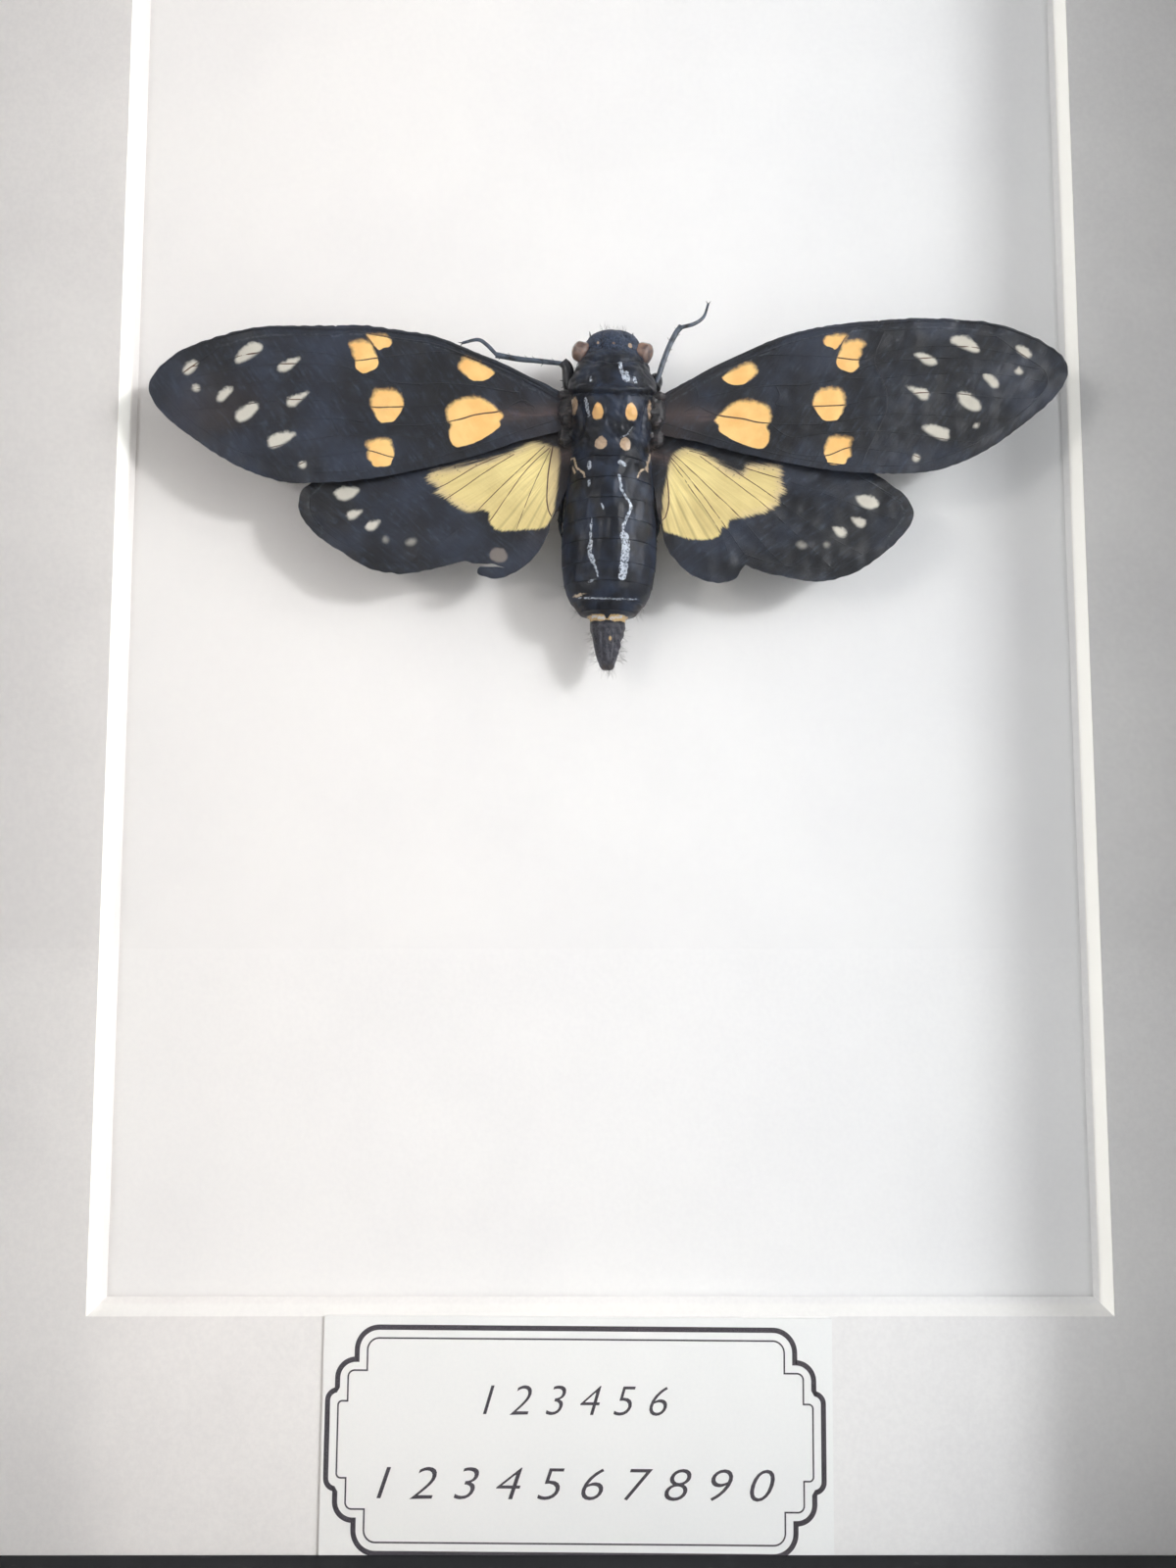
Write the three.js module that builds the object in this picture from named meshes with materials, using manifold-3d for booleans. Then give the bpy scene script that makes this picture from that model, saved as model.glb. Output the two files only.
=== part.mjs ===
// A dried cicada with spread wings, mounted in a small glazed box frame.
// Millimetres, +Z up, the front faces -Y. The origin is the middle of the underside.

import * as THREE from 'three';
import { mergeVertices } from 'three/addons/utils/BufferGeometryUtils.js';
import Module from 'manifold-3d';

// Driving dimensions of the box frame.
const FRAME_WIDTH = 170;
const FRAME_HEIGHT = 220;
const FRAME_DEPTH = 36;
const RAIL_WALL = 10;
const RAIL_FACE = 14;
const LIP_THICKNESS = 3;
const RAIL_EDGE_ROUND = 0.8;
const MITRE_GAP = 0.05;

// The layers inside the box, from the glass to the back.
const GLASS_THICKNESS = 2;
const LINER_DEPTH = 21;
const LABEL_THICKNESS = 0.2;
const MAT_THICKNESS = 1.4;
const MOUNT_BOARD_THICKNESS = 1.5;
const BACK_PANEL_THICKNESS = 3;
const LAYER_GAP = 0.3;
const EDGE_GAP = 0.3;
const TIGHT_GAP = 0.1;

// The bevelled window in the mat, at the board side of the bevel.
const WINDOW_WIDTH = 96;
const WINDOW_HEIGHT = 146;
const WINDOW_BEVEL = MAT_THICKNESS;

// The name card, laid on the mat under the window.
const LABEL_WIDTH = 48.6;
const LABEL_HEIGHT = 24;
const LABEL_CENTRE_X = -2.2;
const LABEL_TURN_DEG = 0.45;

// What holds the layers in, and hangs the frame, at the back.
const TAB_WIDTH = 6;
const TAB_LENGTH = 14;
const TAB_THICKNESS = 0.5;
const TAB_SIDE_OFFSET = 55;
const TAB_END_OFFSET = 40;
const HANGER_WIDTH = 45;
const HANGER_HEIGHT = 9;
const HANGER_THICKNESS = 1;
const HANGER_Z = 190;
const HANGER_TOOTH = 2.5;
const NAIL_SPACING = 37;
const NAIL_HEAD_RADIUS = 2;
const NAIL_HEAD_THICKNESS = 0.6;
const NAIL_HEAD_TOP_RADIUS = 1.6;
const NAIL_SHANK_RADIUS = 0.7;
const NAIL_HOLE_RADIUS = 0.9;
const PLAIN_END = 3.5;

// The cicada. Heights are from the mount board, and stations are from the tail tip.
const CICADA_X = 1.2;
const TAIL_TIP_Z = 98.2;
const WING_STATION = 26.6;
const BODY_LEAN_DEG = 1.1;
const WING_THICKNESS = 0.5;

// How finely round shapes are cut into facets.
const BODY_SIDES = 20;
const BALL_FACETS = [14, 9];
const TUBE_SIDES = 6;
const NAIL_SIDES = 16;
const EDGE_FACETS = 4;
const HOLE_FACETS = 8;
const LEG_STEPS = 6;
const BEAK_STEPS = 6;
const FEELER_STEPS = 2;
const VEIN_STEPS = 8;
const OUTLINE_STEPS_PER_POINT = 2;
const MERGE_DISTANCE = 1e-5;
const CURVE_TENSION = 0.5;

// Planes and openings that follow from the sizes above.
const frontY = -FRAME_DEPTH / 2;
const glassFrontY = frontY + LIP_THICKNESS + LAYER_GAP;
const linerFrontY = glassFrontY + GLASS_THICKNESS + LAYER_GAP;
const linerBackY = linerFrontY + LINER_DEPTH;
const matFrontY = linerBackY + LAYER_GAP;
const boardFrontY = matFrontY + MAT_THICKNESS + LAYER_GAP;
const panelFrontY = boardFrontY + MOUNT_BOARD_THICKNESS + LAYER_GAP;
const panelBackY = panelFrontY + BACK_PANEL_THICKNESS;
const centreZ = FRAME_HEIGHT / 2;
const recessWidth = FRAME_WIDTH - 2 * RAIL_WALL;
const recessHeight = FRAME_HEIGHT - 2 * RAIL_WALL;
const layerWidth = recessWidth - 2 * EDGE_GAP;
const layerHeight = recessHeight - 2 * EDGE_GAP;

const manifoldModule = await Module();
manifoldModule.setup();
const { Manifold, Mesh: SolidMesh } = manifoldModule;

const MATERIALS = {
  lacquer: new THREE.MeshStandardMaterial({ color: 0x14141a, roughness: 0.2, metalness: 0 }),
  glass: new THREE.MeshStandardMaterial({
    color: 0xf2f7f5, roughness: 0.02, metalness: 0, transparent: true, opacity: 0.25,
  }),
  matPaper: new THREE.MeshStandardMaterial({ color: 0xf0f0f2, roughness: 0.9, metalness: 0 }),
  card: new THREE.MeshStandardMaterial({ color: 0xf4f4f2, roughness: 0.8, metalness: 0 }),
  chitin: new THREE.MeshStandardMaterial({ color: 0x20242e, roughness: 0.35, metalness: 0 }),
  fibreboard: new THREE.MeshStandardMaterial({ color: 0x8a6a48, roughness: 0.85, metalness: 0 }),
  steel: new THREE.MeshStandardMaterial({ color: 0xb9bcc0, roughness: 0.35, metalness: 1 }),
};

const object = new THREE.Group();

// Adds one named mesh to the object.
function addPiece(name, geometry, material, parent = object) {
  const mesh = new THREE.Mesh(geometry, material);
  mesh.name = name;
  parent.add(mesh);
  return mesh;
}

// A box between two corners.
function boxBetween(low, high) {
  const size = high.map((value, axis) => value - low[axis]);
  const middle = high.map((value, axis) => (value + low[axis]) / 2);
  const geometry = new THREE.BoxGeometry(...size);
  return geometry.translate(...middle);
}

// A plain board of the full layer size, standing behind the plane y.
function fullLayer(y, thickness) {
  const halfWidth = layerWidth / 2;
  const bottomZ = centreZ - layerHeight / 2;
  const topZ = centreZ + layerHeight / 2;
  return boxBetween([-halfWidth, y, bottomZ], [halfWidth, y + thickness, topZ]);
}

function toSolid(geometry) {
  const bare = geometry.clone();
  bare.deleteAttribute('normal');
  bare.deleteAttribute('uv');
  const merged = mergeVertices(bare, MERGE_DISTANCE);
  return new Manifold(new SolidMesh({
    numProp: 3,
    vertProperties: new Float32Array(merged.attributes.position.array),
    triVerts: new Uint32Array(merged.index.array),
  }));
}

function toGeometry(solid) {
  const mesh = solid.getMesh();
  const geometry = new THREE.BufferGeometry();
  geometry.setAttribute('position', new THREE.BufferAttribute(mesh.vertProperties, 3));
  geometry.setIndex(new THREE.BufferAttribute(mesh.triVerts, 1));
  geometry.computeVertexNormals();
  return geometry;
}

// One frame rail: an L section with a front lip, mitred at both ends.
// It is made along X with its outer face down, and then turned into place.
function railGeometry(length) {
  const section = new THREE.Shape();
  const round = RAIL_EDGE_ROUND;
  const backY = frontY + FRAME_DEPTH;
  section.moveTo(round, frontY);
  section.lineTo(RAIL_FACE - round, frontY);
  section.absarc(RAIL_FACE - round, frontY + round, round, -Math.PI / 2, 0, false);
  section.lineTo(RAIL_FACE, frontY + LIP_THICKNESS);
  section.lineTo(RAIL_WALL, frontY + LIP_THICKNESS);
  section.lineTo(RAIL_WALL, backY);
  section.lineTo(0, backY);
  section.lineTo(0, frontY + round);
  section.absarc(round, frontY + round, round, Math.PI, Math.PI * 1.5, false);
  const geometry = new THREE.ExtrudeGeometry(section, {
    depth: 1, steps: 1, bevelEnabled: false, curveSegments: EDGE_FACETS,
  });
  const position = geometry.attributes.position;
  for (let i = 0; i < position.count; i += 1) {
    const inward = position.getX(i);
    const depthY = position.getY(i);
    const end = position.getZ(i) > 0.5 ? -1 : 1;
    const reach = length / 2 - inward - MITRE_GAP;
    position.setXYZ(i, end * reach, depthY, inward);
  }
  return geometry;
}

function addRails() {
  const rails = [
    ['frame_rail_bottom', FRAME_WIDTH, 0, 0, 0],
    ['frame_rail_top', FRAME_WIDTH, Math.PI, 0, FRAME_HEIGHT],
    ['frame_rail_left', FRAME_HEIGHT, Math.PI / 2, -FRAME_WIDTH / 2, centreZ],
    ['frame_rail_right', FRAME_HEIGHT, -Math.PI / 2, FRAME_WIDTH / 2, centreZ],
  ];
  for (const [name, length, turn, x, z] of rails) {
    const rail = addPiece(name, railGeometry(length), MATERIALS.lacquer);
    rail.rotation.y = turn;
    rail.position.set(x, 0, z);
  }
}

// Four strips that keep the glass away from the mat, flush with the front lip.
function addLiners() {
  const outerX = layerWidth / 2;
  const innerX = FRAME_WIDTH / 2 - RAIL_FACE;
  const lowZ = centreZ - layerHeight / 2;
  const highZ = centreZ + layerHeight / 2;
  const shortX = innerX - TIGHT_GAP;
  const strips = {
    liner_left: [[-outerX, lowZ], [-innerX, highZ]],
    liner_right: [[innerX, lowZ], [outerX, highZ]],
    liner_bottom: [[-shortX, lowZ], [shortX, RAIL_FACE]],
    liner_top: [[-shortX, FRAME_HEIGHT - RAIL_FACE], [shortX, highZ]],
  };
  for (const [name, [low, high]] of Object.entries(strips)) {
    const strip = boxBetween([low[0], linerFrontY, low[1]], [high[0], linerBackY, high[1]]);
    addPiece(name, strip, MATERIALS.lacquer);
  }
}

// A mat board whose window has a slanted edge, wider towards the glass.
// The wedge that cuts it runs on past both faces of the board.
function matGeometry() {
  const halfWidth = WINDOW_WIDTH / 2;
  const halfHeight = WINDOW_HEIGHT / 2;
  const overrun = MAT_THICKNESS / 2;
  const reach = overrun / MAT_THICKNESS * WINDOW_BEVEL;
  const frontGrow = WINDOW_BEVEL + reach;
  const wedge = new THREE.BoxGeometry(1, MAT_THICKNESS + 2 * overrun, 1);
  const position = wedge.attributes.position;
  for (let i = 0; i < position.count; i += 1) {
    const atFront = position.getY(i) < 0;
    const grow = atFront ? frontGrow : -reach;
    const x = Math.sign(position.getX(i)) * (halfWidth + grow);
    const z = Math.sign(position.getZ(i)) * (halfHeight + grow);
    position.setX(i, x);
    position.setZ(i, z + centreZ);
  }
  wedge.translate(0, matFrontY + MAT_THICKNESS / 2, 0);
  return toGeometry(toSolid(fullLayer(matFrontY, MAT_THICKNESS)).subtract(toSolid(wedge)));
}

function addLayers() {
  addPiece('glass_pane', fullLayer(glassFrontY, GLASS_THICKNESS), MATERIALS.glass);
  addPiece('mat_board', matGeometry(), MATERIALS.matPaper);
  addPiece('mount_board', fullLayer(boardFrontY, MOUNT_BOARD_THICKNESS), MATERIALS.matPaper);
  addPiece('back_panel', fullLayer(panelFrontY, BACK_PANEL_THICKNESS), MATERIALS.fibreboard);
}

function addLabel() {
  const geometry = new THREE.BoxGeometry(LABEL_WIDTH, LABEL_THICKNESS, LABEL_HEIGHT);
  const card = addPiece('label_card', geometry, MATERIALS.card);
  const clearance = (LAYER_GAP - LABEL_THICKNESS) / 2;
  const topZ = centreZ - WINDOW_HEIGHT / 2 - WINDOW_BEVEL;
  card.position.set(
    LABEL_CENTRE_X,
    matFrontY - clearance - LABEL_THICKNESS / 2,
    topZ - LABEL_HEIGHT / 2,
  );
  card.rotation.y = THREE.MathUtils.degToRad(LABEL_TURN_DEG);
}

// Bendable flat tabs that lie on the back panel, with one end at the rail's inner wall.
function addTabs() {
  const nearY = panelBackY + TIGHT_GAP;
  const farY = nearY + TAB_THICKNESS;
  const half = TAB_WIDTH / 2;
  const sideReach = recessWidth / 2 - TIGHT_GAP;
  const endReach = recessHeight / 2 - TIGHT_GAP;
  for (const side of [-1, 1]) {
    for (const level of [-1, 1]) {
      const z = centreZ + level * TAB_SIDE_OFFSET;
      const ends = [side * sideReach, side * (sideReach - TAB_LENGTH)].sort((a, b) => a - b);
      const sideName = side < 0 ? 'left' : 'right';
      const levelName = level < 0 ? 'lower' : 'upper';
      const tab = boxBetween([ends[0], nearY, z - half], [ends[1], farY, z + half]);
      addPiece(`tab_${sideName}_${levelName}`, tab, MATERIALS.steel);
    }
    for (const end of [-1, 1]) {
      const x = side * TAB_END_OFFSET;
      const reach = [end * endReach, end * (endReach - TAB_LENGTH)].sort((a, b) => a - b);
      const low = [x - half, nearY, centreZ + reach[0]];
      const high = [x + half, farY, centreZ + reach[1]];
      const sideName = side < 0 ? 'left' : 'right';
      const endName = end < 0 ? 'bottom' : 'top';
      addPiece(`tab_${endName}_${sideName}`, boxBetween(low, high), MATERIALS.steel);
    }
  }
}

// A sawtooth hanger: a thin plate with a toothed slot edge, and two nail holes.
function hangerGeometry() {
  const plate = new THREE.Shape();
  const halfWidth = HANGER_WIDTH / 2;
  const halfHeight = HANGER_HEIGHT / 2;
  const toothedHalf = NAIL_SPACING / 2 - PLAIN_END;
  const toothCount = Math.floor(2 * toothedHalf / HANGER_TOOTH);
  const firstTooth = -toothCount * HANGER_TOOTH / 2;
  plate.moveTo(-halfWidth, -halfHeight);
  plate.lineTo(firstTooth, -halfHeight);
  plate.lineTo(firstTooth, -halfHeight + HANGER_TOOTH);
  for (let i = 0; i < toothCount; i += 1) {
    const left = firstTooth + i * HANGER_TOOTH;
    plate.lineTo(left + HANGER_TOOTH / 2, -halfHeight + 2 * HANGER_TOOTH);
    plate.lineTo(left + HANGER_TOOTH, -halfHeight + HANGER_TOOTH);
  }
  plate.lineTo(-firstTooth, -halfHeight);
  plate.lineTo(halfWidth, -halfHeight);
  plate.lineTo(halfWidth, halfHeight);
  plate.lineTo(-halfWidth, halfHeight);
  for (const side of [-1, 1]) {
    const hole = new THREE.Path();
    hole.absarc(side * NAIL_SPACING / 2, 0, NAIL_HOLE_RADIUS, 0, 2 * Math.PI, true);
    plate.holes.push(hole);
  }
  const geometry = new THREE.ExtrudeGeometry(plate, {
    depth: HANGER_THICKNESS, bevelEnabled: false, curveSegments: HOLE_FACETS,
  });
  return geometry.rotateX(Math.PI / 2).translate(0, HANGER_THICKNESS, 0);
}

// A nail head with the part of its shank that stands in the hanger's hole.
function nailGeometry() {
  const headUnderside = HANGER_THICKNESS + TIGHT_GAP;
  const headTop = HANGER_THICKNESS + NAIL_HEAD_THICKNESS;
  const profile = [
    [0, 0],
    [NAIL_SHANK_RADIUS, 0],
    [NAIL_SHANK_RADIUS, headUnderside],
    [NAIL_HEAD_RADIUS, headUnderside],
    [NAIL_HEAD_TOP_RADIUS, headTop],
    [0, headTop],
  ].map(([radius, along]) => new THREE.Vector2(radius, along));
  return new THREE.LatheGeometry(profile, NAIL_SIDES);
}

function addHanger() {
  const hanger = new THREE.Group();
  hanger.position.set(0, panelBackY + TIGHT_GAP, HANGER_Z);
  object.add(hanger);
  addPiece('hanger_plate', hangerGeometry(), MATERIALS.steel, hanger);
  for (const side of [-1, 1]) {
    const name = side < 0 ? 'hanger_nail_left' : 'hanger_nail_right';
    const nail = addPiece(name, nailGeometry(), MATERIALS.steel, hanger);
    nail.position.x = side * NAIL_SPACING / 2;
  }
}

// The body's cross-sections: station, half width, back height and belly height.
const BODY_SECTIONS = [
  [0.0, 0.35, 3.4, 2.9],
  [0.8, 0.85, 3.9, 2.4],
  [2.2, 1.20, 4.3, 2.2],
  [3.4, 1.50, 4.6, 2.0],
  [4.6, 1.70, 4.9, 1.8],
  [4.7, 1.75, 5.0, 1.8],
  [5.5, 1.85, 5.3, 1.6],
  [5.7, 2.40, 5.8, 1.2],
  [7.0, 3.40, 6.7, 0.7],
  [8.9, 4.15, 7.5, 0.5],
  [11.0, 4.45, 8.0, 0.4],
  [13.3, 4.65, 8.4, 0.3],
  [15.4, 4.55, 8.5, 0.3],
  [17.4, 4.35, 8.6, 0.3],
  [19.5, 4.20, 8.5, 0.3],
  [21.4, 3.95, 8.2, 0.3],
  [22.0, 4.00, 8.7, 0.3],
  [23.5, 4.10, 9.2, 0.4],
  [25.0, 4.15, 9.5, 0.5],
  [26.5, 4.10, 9.4, 0.6],
  [27.7, 4.00, 9.1, 0.8],
  [27.9, 4.35, 9.2, 0.8],
  [28.6, 4.10, 8.8, 0.9],
  [29.5, 3.70, 8.3, 1.0],
  [30.6, 3.30, 7.8, 1.2],
  [31.0, 3.05, 7.4, 1.3],
  [32.2, 2.95, 7.1, 1.4],
  [33.1, 2.65, 6.5, 1.9],
  [33.8, 2.00, 5.8, 2.8],
  [34.2, 0.60, 5.0, 4.0],
];
const SECTION_POWER = 2.3;
const SEGMENT_STEP = 0.1;
const FIRST_SEGMENT = 7;
const LAST_SEGMENT = 14;

// What stands out of the body: across, height, station and radii, on the right side.
const EYE = [3.05, 5.6, 32.0, [1.2, 1.25, 1.2]];
const WING_SHOULDER = [4.3, 6.2, 25.6, [1.5, 0.9, 1.6]];
const FEELER_RADIUS = 0.12;
const FEELER = [[2.1, 5.0, 33.2], [2.5, 5.2, 34.4]];
const BEAK_RADIUS = 0.4;
const BEAK = [[0, 2.6, 32.4], [0, 1.2, 30.0], [0, 0.8, 26.5]];

// A point of the specimen: across, height above the board, and station from the tail tip.
function at(across, height, station) {
  return new THREE.Vector3(across, -height, station - WING_STATION);
}

// One ring of the body, a softened ellipse.
function bodyRing(station, halfWidth, back, belly) {
  const ring = [];
  const middle = (back + belly) / 2;
  const halfHeight = (back - belly) / 2;
  for (let i = 0; i < BODY_SIDES; i += 1) {
    const angle = i / BODY_SIDES * 2 * Math.PI;
    const cos = Math.cos(angle);
    const sin = Math.sin(angle);
    const across = Math.sign(cos) * Math.abs(cos) ** (2 / SECTION_POWER);
    const rise = Math.sign(sin) * Math.abs(sin) ** (2 / SECTION_POWER);
    ring.push(at(across * halfWidth, middle + rise * halfHeight, station));
  }
  return ring;
}

// The abdomen's segments overlap like a telescope: each ring steps in behind its rear edge.
function bodyRings() {
  const rings = [];
  BODY_SECTIONS.forEach(([station, halfWidth, back, belly], index) => {
    if (index >= FIRST_SEGMENT && index <= LAST_SEGMENT) {
      const inset = SEGMENT_STEP;
      rings.push(bodyRing(station - inset, halfWidth - inset, back - inset, belly + inset));
    }
    rings.push(bodyRing(station, halfWidth, back, belly));
  });
  return rings;
}

// A closed skin over a row of equal rings, with flat ends.
function loftGeometry(rings) {
  const sides = rings[0].length;
  const points = rings.flat();
  const centres = [rings[0], rings[rings.length - 1]].map((ring) => {
    const sum = ring.reduce((total, point) => total.add(point), new THREE.Vector3());
    return sum.divideScalar(sides);
  });
  const firstCentre = points.length;
  points.push(...centres);
  const index = [];
  for (let row = 0; row < rings.length - 1; row += 1) {
    for (let i = 0; i < sides; i += 1) {
      const next = (i + 1) % sides;
      const a = row * sides + i;
      const b = row * sides + next;
      index.push(a, a + sides, b, b, a + sides, b + sides);
    }
  }
  const lastRow = (rings.length - 1) * sides;
  for (let i = 0; i < sides; i += 1) {
    const next = (i + 1) % sides;
    index.push(firstCentre, i, next);
    index.push(firstCentre + 1, lastRow + next, lastRow + i);
  }
  const geometry = new THREE.BufferGeometry().setFromPoints(points);
  geometry.setIndex(index);
  return geometry;
}

function ellipsoid([across, height, station, radii], side) {
  const ball = new THREE.SphereGeometry(1, ...BALL_FACETS);
  const centre = at(side * across, height, station);
  return ball.scale(radii[0], radii[1], radii[2]).translate(centre.x, centre.y, centre.z);
}

// A round tube through the given points.
function tube(points, radius, steps) {
  const section = new THREE.Shape();
  for (let i = 0; i < TUBE_SIDES; i += 1) {
    const angle = i / TUBE_SIDES * 2 * Math.PI;
    const x = radius * Math.cos(angle);
    const y = radius * Math.sin(angle);
    if (i === 0) section.moveTo(x, y);
    else section.lineTo(x, y);
  }
  const path = new THREE.CatmullRomCurve3(points, false, 'catmullrom', CURVE_TENSION);
  return new THREE.ExtrudeGeometry(section, { steps, extrudePath: path, bevelEnabled: false });
}

// Each leg: side, and its stretches from the body out, each a radius and its points.
const FEMUR_RADIUS = 0.55;
const TIBIA_RADIUS = 0.27;
const TARSUS_RADIUS = 0.19;
const LEFT_FORELEG = [
  [FEMUR_RADIUS, [[-3.0, 3.6, 27.0], [-4.2, 4.2, 28.2], [-4.5, 4.8, 30.2], [-5.0, 5.0, 30.8]]],
  [TIBIA_RADIUS, [[-4.9, 5.0, 30.7], [-7.4, 5.0, 31.2], [-9.3, 5.0, 31.5], [-11.5, 5.2, 31.9]]],
  [TARSUS_RADIUS, [[-11.4, 5.2, 31.8], [-12.7, 5.6, 33.0], [-13.5, 5.8, 33.4], [-14.7, 5.8, 32.9]]],
];
const RIGHT_FORELEG = [
  [FEMUR_RADIUS, [[3.0, 3.6, 27.4], [4.2, 4.2, 29.4], [4.5, 4.6, 29.0], [4.4, 5.0, 28.2]]],
  [TIBIA_RADIUS, [[4.2, 5.0, 28.2], [5.3, 5.2, 32.3], [6.1, 5.2, 34.2], [6.6, 5.2, 34.9]]],
  [TARSUS_RADIUS, [[6.4, 5.2, 34.8], [8.0, 5.0, 35.4], [8.9, 4.6, 36.2], [9.2, 4.0, 37.6]]],
];

// The middle and hind legs are folded back along the body, close to the board.
const MIDDLE_LEG = [
  [FEMUR_RADIUS, [[2.2, 1.5, 25.5], [3.4, 1.3, 24.4], [4.6, 1.2, 22.6]]],
  [TIBIA_RADIUS, [[4.5, 1.2, 22.8], [4.7, 1.0, 20.0], [4.9, 0.9, 17.6]]],
  [TARSUS_RADIUS, [[4.9, 0.9, 17.8], [5.2, 0.8, 16.6], [5.4, 0.7, 15.6]]],
];
const HIND_LEG = [
  [FEMUR_RADIUS, [[2.0, 1.3, 22.8], [3.8, 1.2, 21.0], [5.0, 1.2, 19.4]]],
  [TIBIA_RADIUS, [[4.9, 1.2, 19.6], [5.4, 1.1, 17.0], [5.8, 1.0, 14.0]]],
  [TARSUS_RADIUS, [[5.8, 1.0, 14.2], [5.9, 0.8, 13.2], [5.7, 0.7, 12.2]]],
];

// A tube through points given across, in height and by station, on one side of the body.
function bodyTube(points, radius, steps, side = 1) {
  const placed = points.map(([across, height, station]) => at(side * across, height, station));
  return tube(placed, radius, steps);
}

function legGeometries(leg, side = 1) {
  return leg.map(([radius, points]) => bodyTube(points, radius, LEG_STEPS, side));
}

// Wing outlines, from the root: outwards along the wing, and forwards across it.
const FOREWING_OUTLINE = [
  [-1.5, -2.0], [-0.5, 0.4], [3.9, 2.5], [8.0, 4.3], [12.8, 5.9], [17.5, 6.6], [22.4, 6.6],
  [27.0, 6.6], [31.2, 6.1], [34.6, 5.2], [37.7, 3.7], [39.8, 1.9], [40.6, 0.1], [40.0, -1.5],
  [38.4, -3.2], [35.6, -5.2], [32.0, -7.4], [28.8, -8.7], [25.2, -9.3], [19.0, -8.8],
  [13.0, -7.4], [8.0, -5.9], [3.6, -4.3], [0.0, -3.2],
];
const HINDWING_OUTLINE = [
  [-1.5, -2.0], [-1.0, 2.6], [6.0, 3.8], [14.0, 4.0], [20.0, 3.5], [23.5, 2.4], [25.6, 1.1],
  [26.4, -0.4], [26.0, -2.3], [24.8, -4.1], [22.4, -6.9], [20.0, -8.7], [17.3, -9.5],
  [14.5, -9.7], [11.5, -9.5], [11.0, -10.9], [9.4, -11.9], [7.6, -12.0], [5.6, -11.3],
  [3.9, -9.9], [2.7, -8.0], [1.6, -6.0], [0.3, -4.0],
];

// The main veins, thickest along the front margin.
const FOREWING_VEINS = [
  [0.38, [[-1.0, 0.0], [3.9, 2.2], [12.8, 5.6], [22.4, 6.4], [31.2, 5.9], [37.7, 3.5]]],
  [0.26, [[-1.0, -0.8], [6.0, 1.2], [12.0, 1.6], [14.5, 0.8], [25.0, 0.6], [36.0, -1.0]]],
  [0.26, [[12.0, 1.6], [18.0, 3.6], [26.0, 4.4], [36.5, 2.6]]],
  [0.26, [[-1.0, -1.6], [5.0, -3.0], [13.0, -5.2], [22.0, -8.0]]],
];
const HINDWING_VEINS = [
  [0.30, [[-1.0, 1.5], [8.0, 0.6], [16.0, 1.6], [23.0, 1.6]]],
  [0.24, [[-1.0, 0.6], [6.0, -1.6], [14.0, -3.0], [22.0, -4.8]]],
  [0.24, [[-1.0, -0.2], [3.5, -4.0], [7.4, -7.4], [9.0, -9.2]]],
];

// Where the four wings are set: side, root, rise of the wing's line, scale, and tip height.
const WINGS = [
  {
    outline: FOREWING_OUTLINE, veins: FOREWING_VEINS, length: 40.6, side: -1,
    root: [-5.1, 6.0, 26.6], riseDeg: 2.0, scale: 1.01, tipHeight: 5.5,
  },
  {
    outline: FOREWING_OUTLINE, veins: FOREWING_VEINS, length: 40.6, side: 1,
    root: [4.7, 6.0, 26.5], riseDeg: 3.9, scale: 0.99, tipHeight: 7.2,
  },
  {
    outline: HINDWING_OUTLINE, veins: HINDWING_VEINS, length: 26.4, side: -1,
    root: [-4.8, 5.3, 22.2], riseDeg: -12.4, scale: 1.02, tipHeight: 4.9,
  },
  {
    outline: HINDWING_OUTLINE, veins: HINDWING_VEINS, length: 26.4, side: 1,
    root: [4.8, 5.3, 22.2], riseDeg: -16.2, scale: 0.98, tipHeight: 5.9,
  },
];

// One wing: a thin plate with its main veins standing a little proud of both faces.
function wingSolid(wing) {
  const turned = wing.outline.map(([out, forward]) => (
    new THREE.Vector2(wing.side * out * wing.scale, forward * wing.scale)
  ));
  const curve = new THREE.SplineCurve(turned);
  const shape = new THREE.Shape(curve.getPoints(turned.length * OUTLINE_STEPS_PER_POINT));
  const plate = new THREE.ExtrudeGeometry(shape, { depth: WING_THICKNESS, bevelEnabled: false });
  plate.translate(0, 0, -WING_THICKNESS / 2).rotateX(Math.PI / 2);
  const solids = [toSolid(plate)];
  for (const [radius, points] of wing.veins) {
    const path = points.map(([out, forward]) => (
      new THREE.Vector3(wing.side * out * wing.scale, 0, forward * wing.scale)
    ));
    solids.push(toSolid(tube(path, radius, VEIN_STEPS)));
  }
  const placing = new THREE.Object3D();
  const slope = Math.atan2(wing.tipHeight - wing.root[1], wing.length);
  placing.position.copy(at(...wing.root));
  placing.rotation.set(0, -wing.side * THREE.MathUtils.degToRad(wing.riseDeg), 0);
  placing.rotateZ(-wing.side * slope);
  placing.updateMatrix();
  return Manifold.union(solids).transform(placing.matrix.elements);
}

// The head, thorax and abdomen with the eyes, feelers, beak and legs.
function bodySolids() {
  const pieces = [loftGeometry(bodyRings())];
  for (const side of [-1, 1]) {
    pieces.push(ellipsoid(EYE, side));
    pieces.push(ellipsoid(WING_SHOULDER, side));
    pieces.push(bodyTube(FEELER, FEELER_RADIUS, FEELER_STEPS, side));
    pieces.push(...legGeometries(MIDDLE_LEG, side));
    pieces.push(...legGeometries(HIND_LEG, side));
  }
  pieces.push(bodyTube(BEAK, BEAK_RADIUS, BEAK_STEPS));
  pieces.push(...legGeometries(LEFT_FORELEG));
  pieces.push(...legGeometries(RIGHT_FORELEG));
  return pieces.map(toSolid);
}

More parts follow.
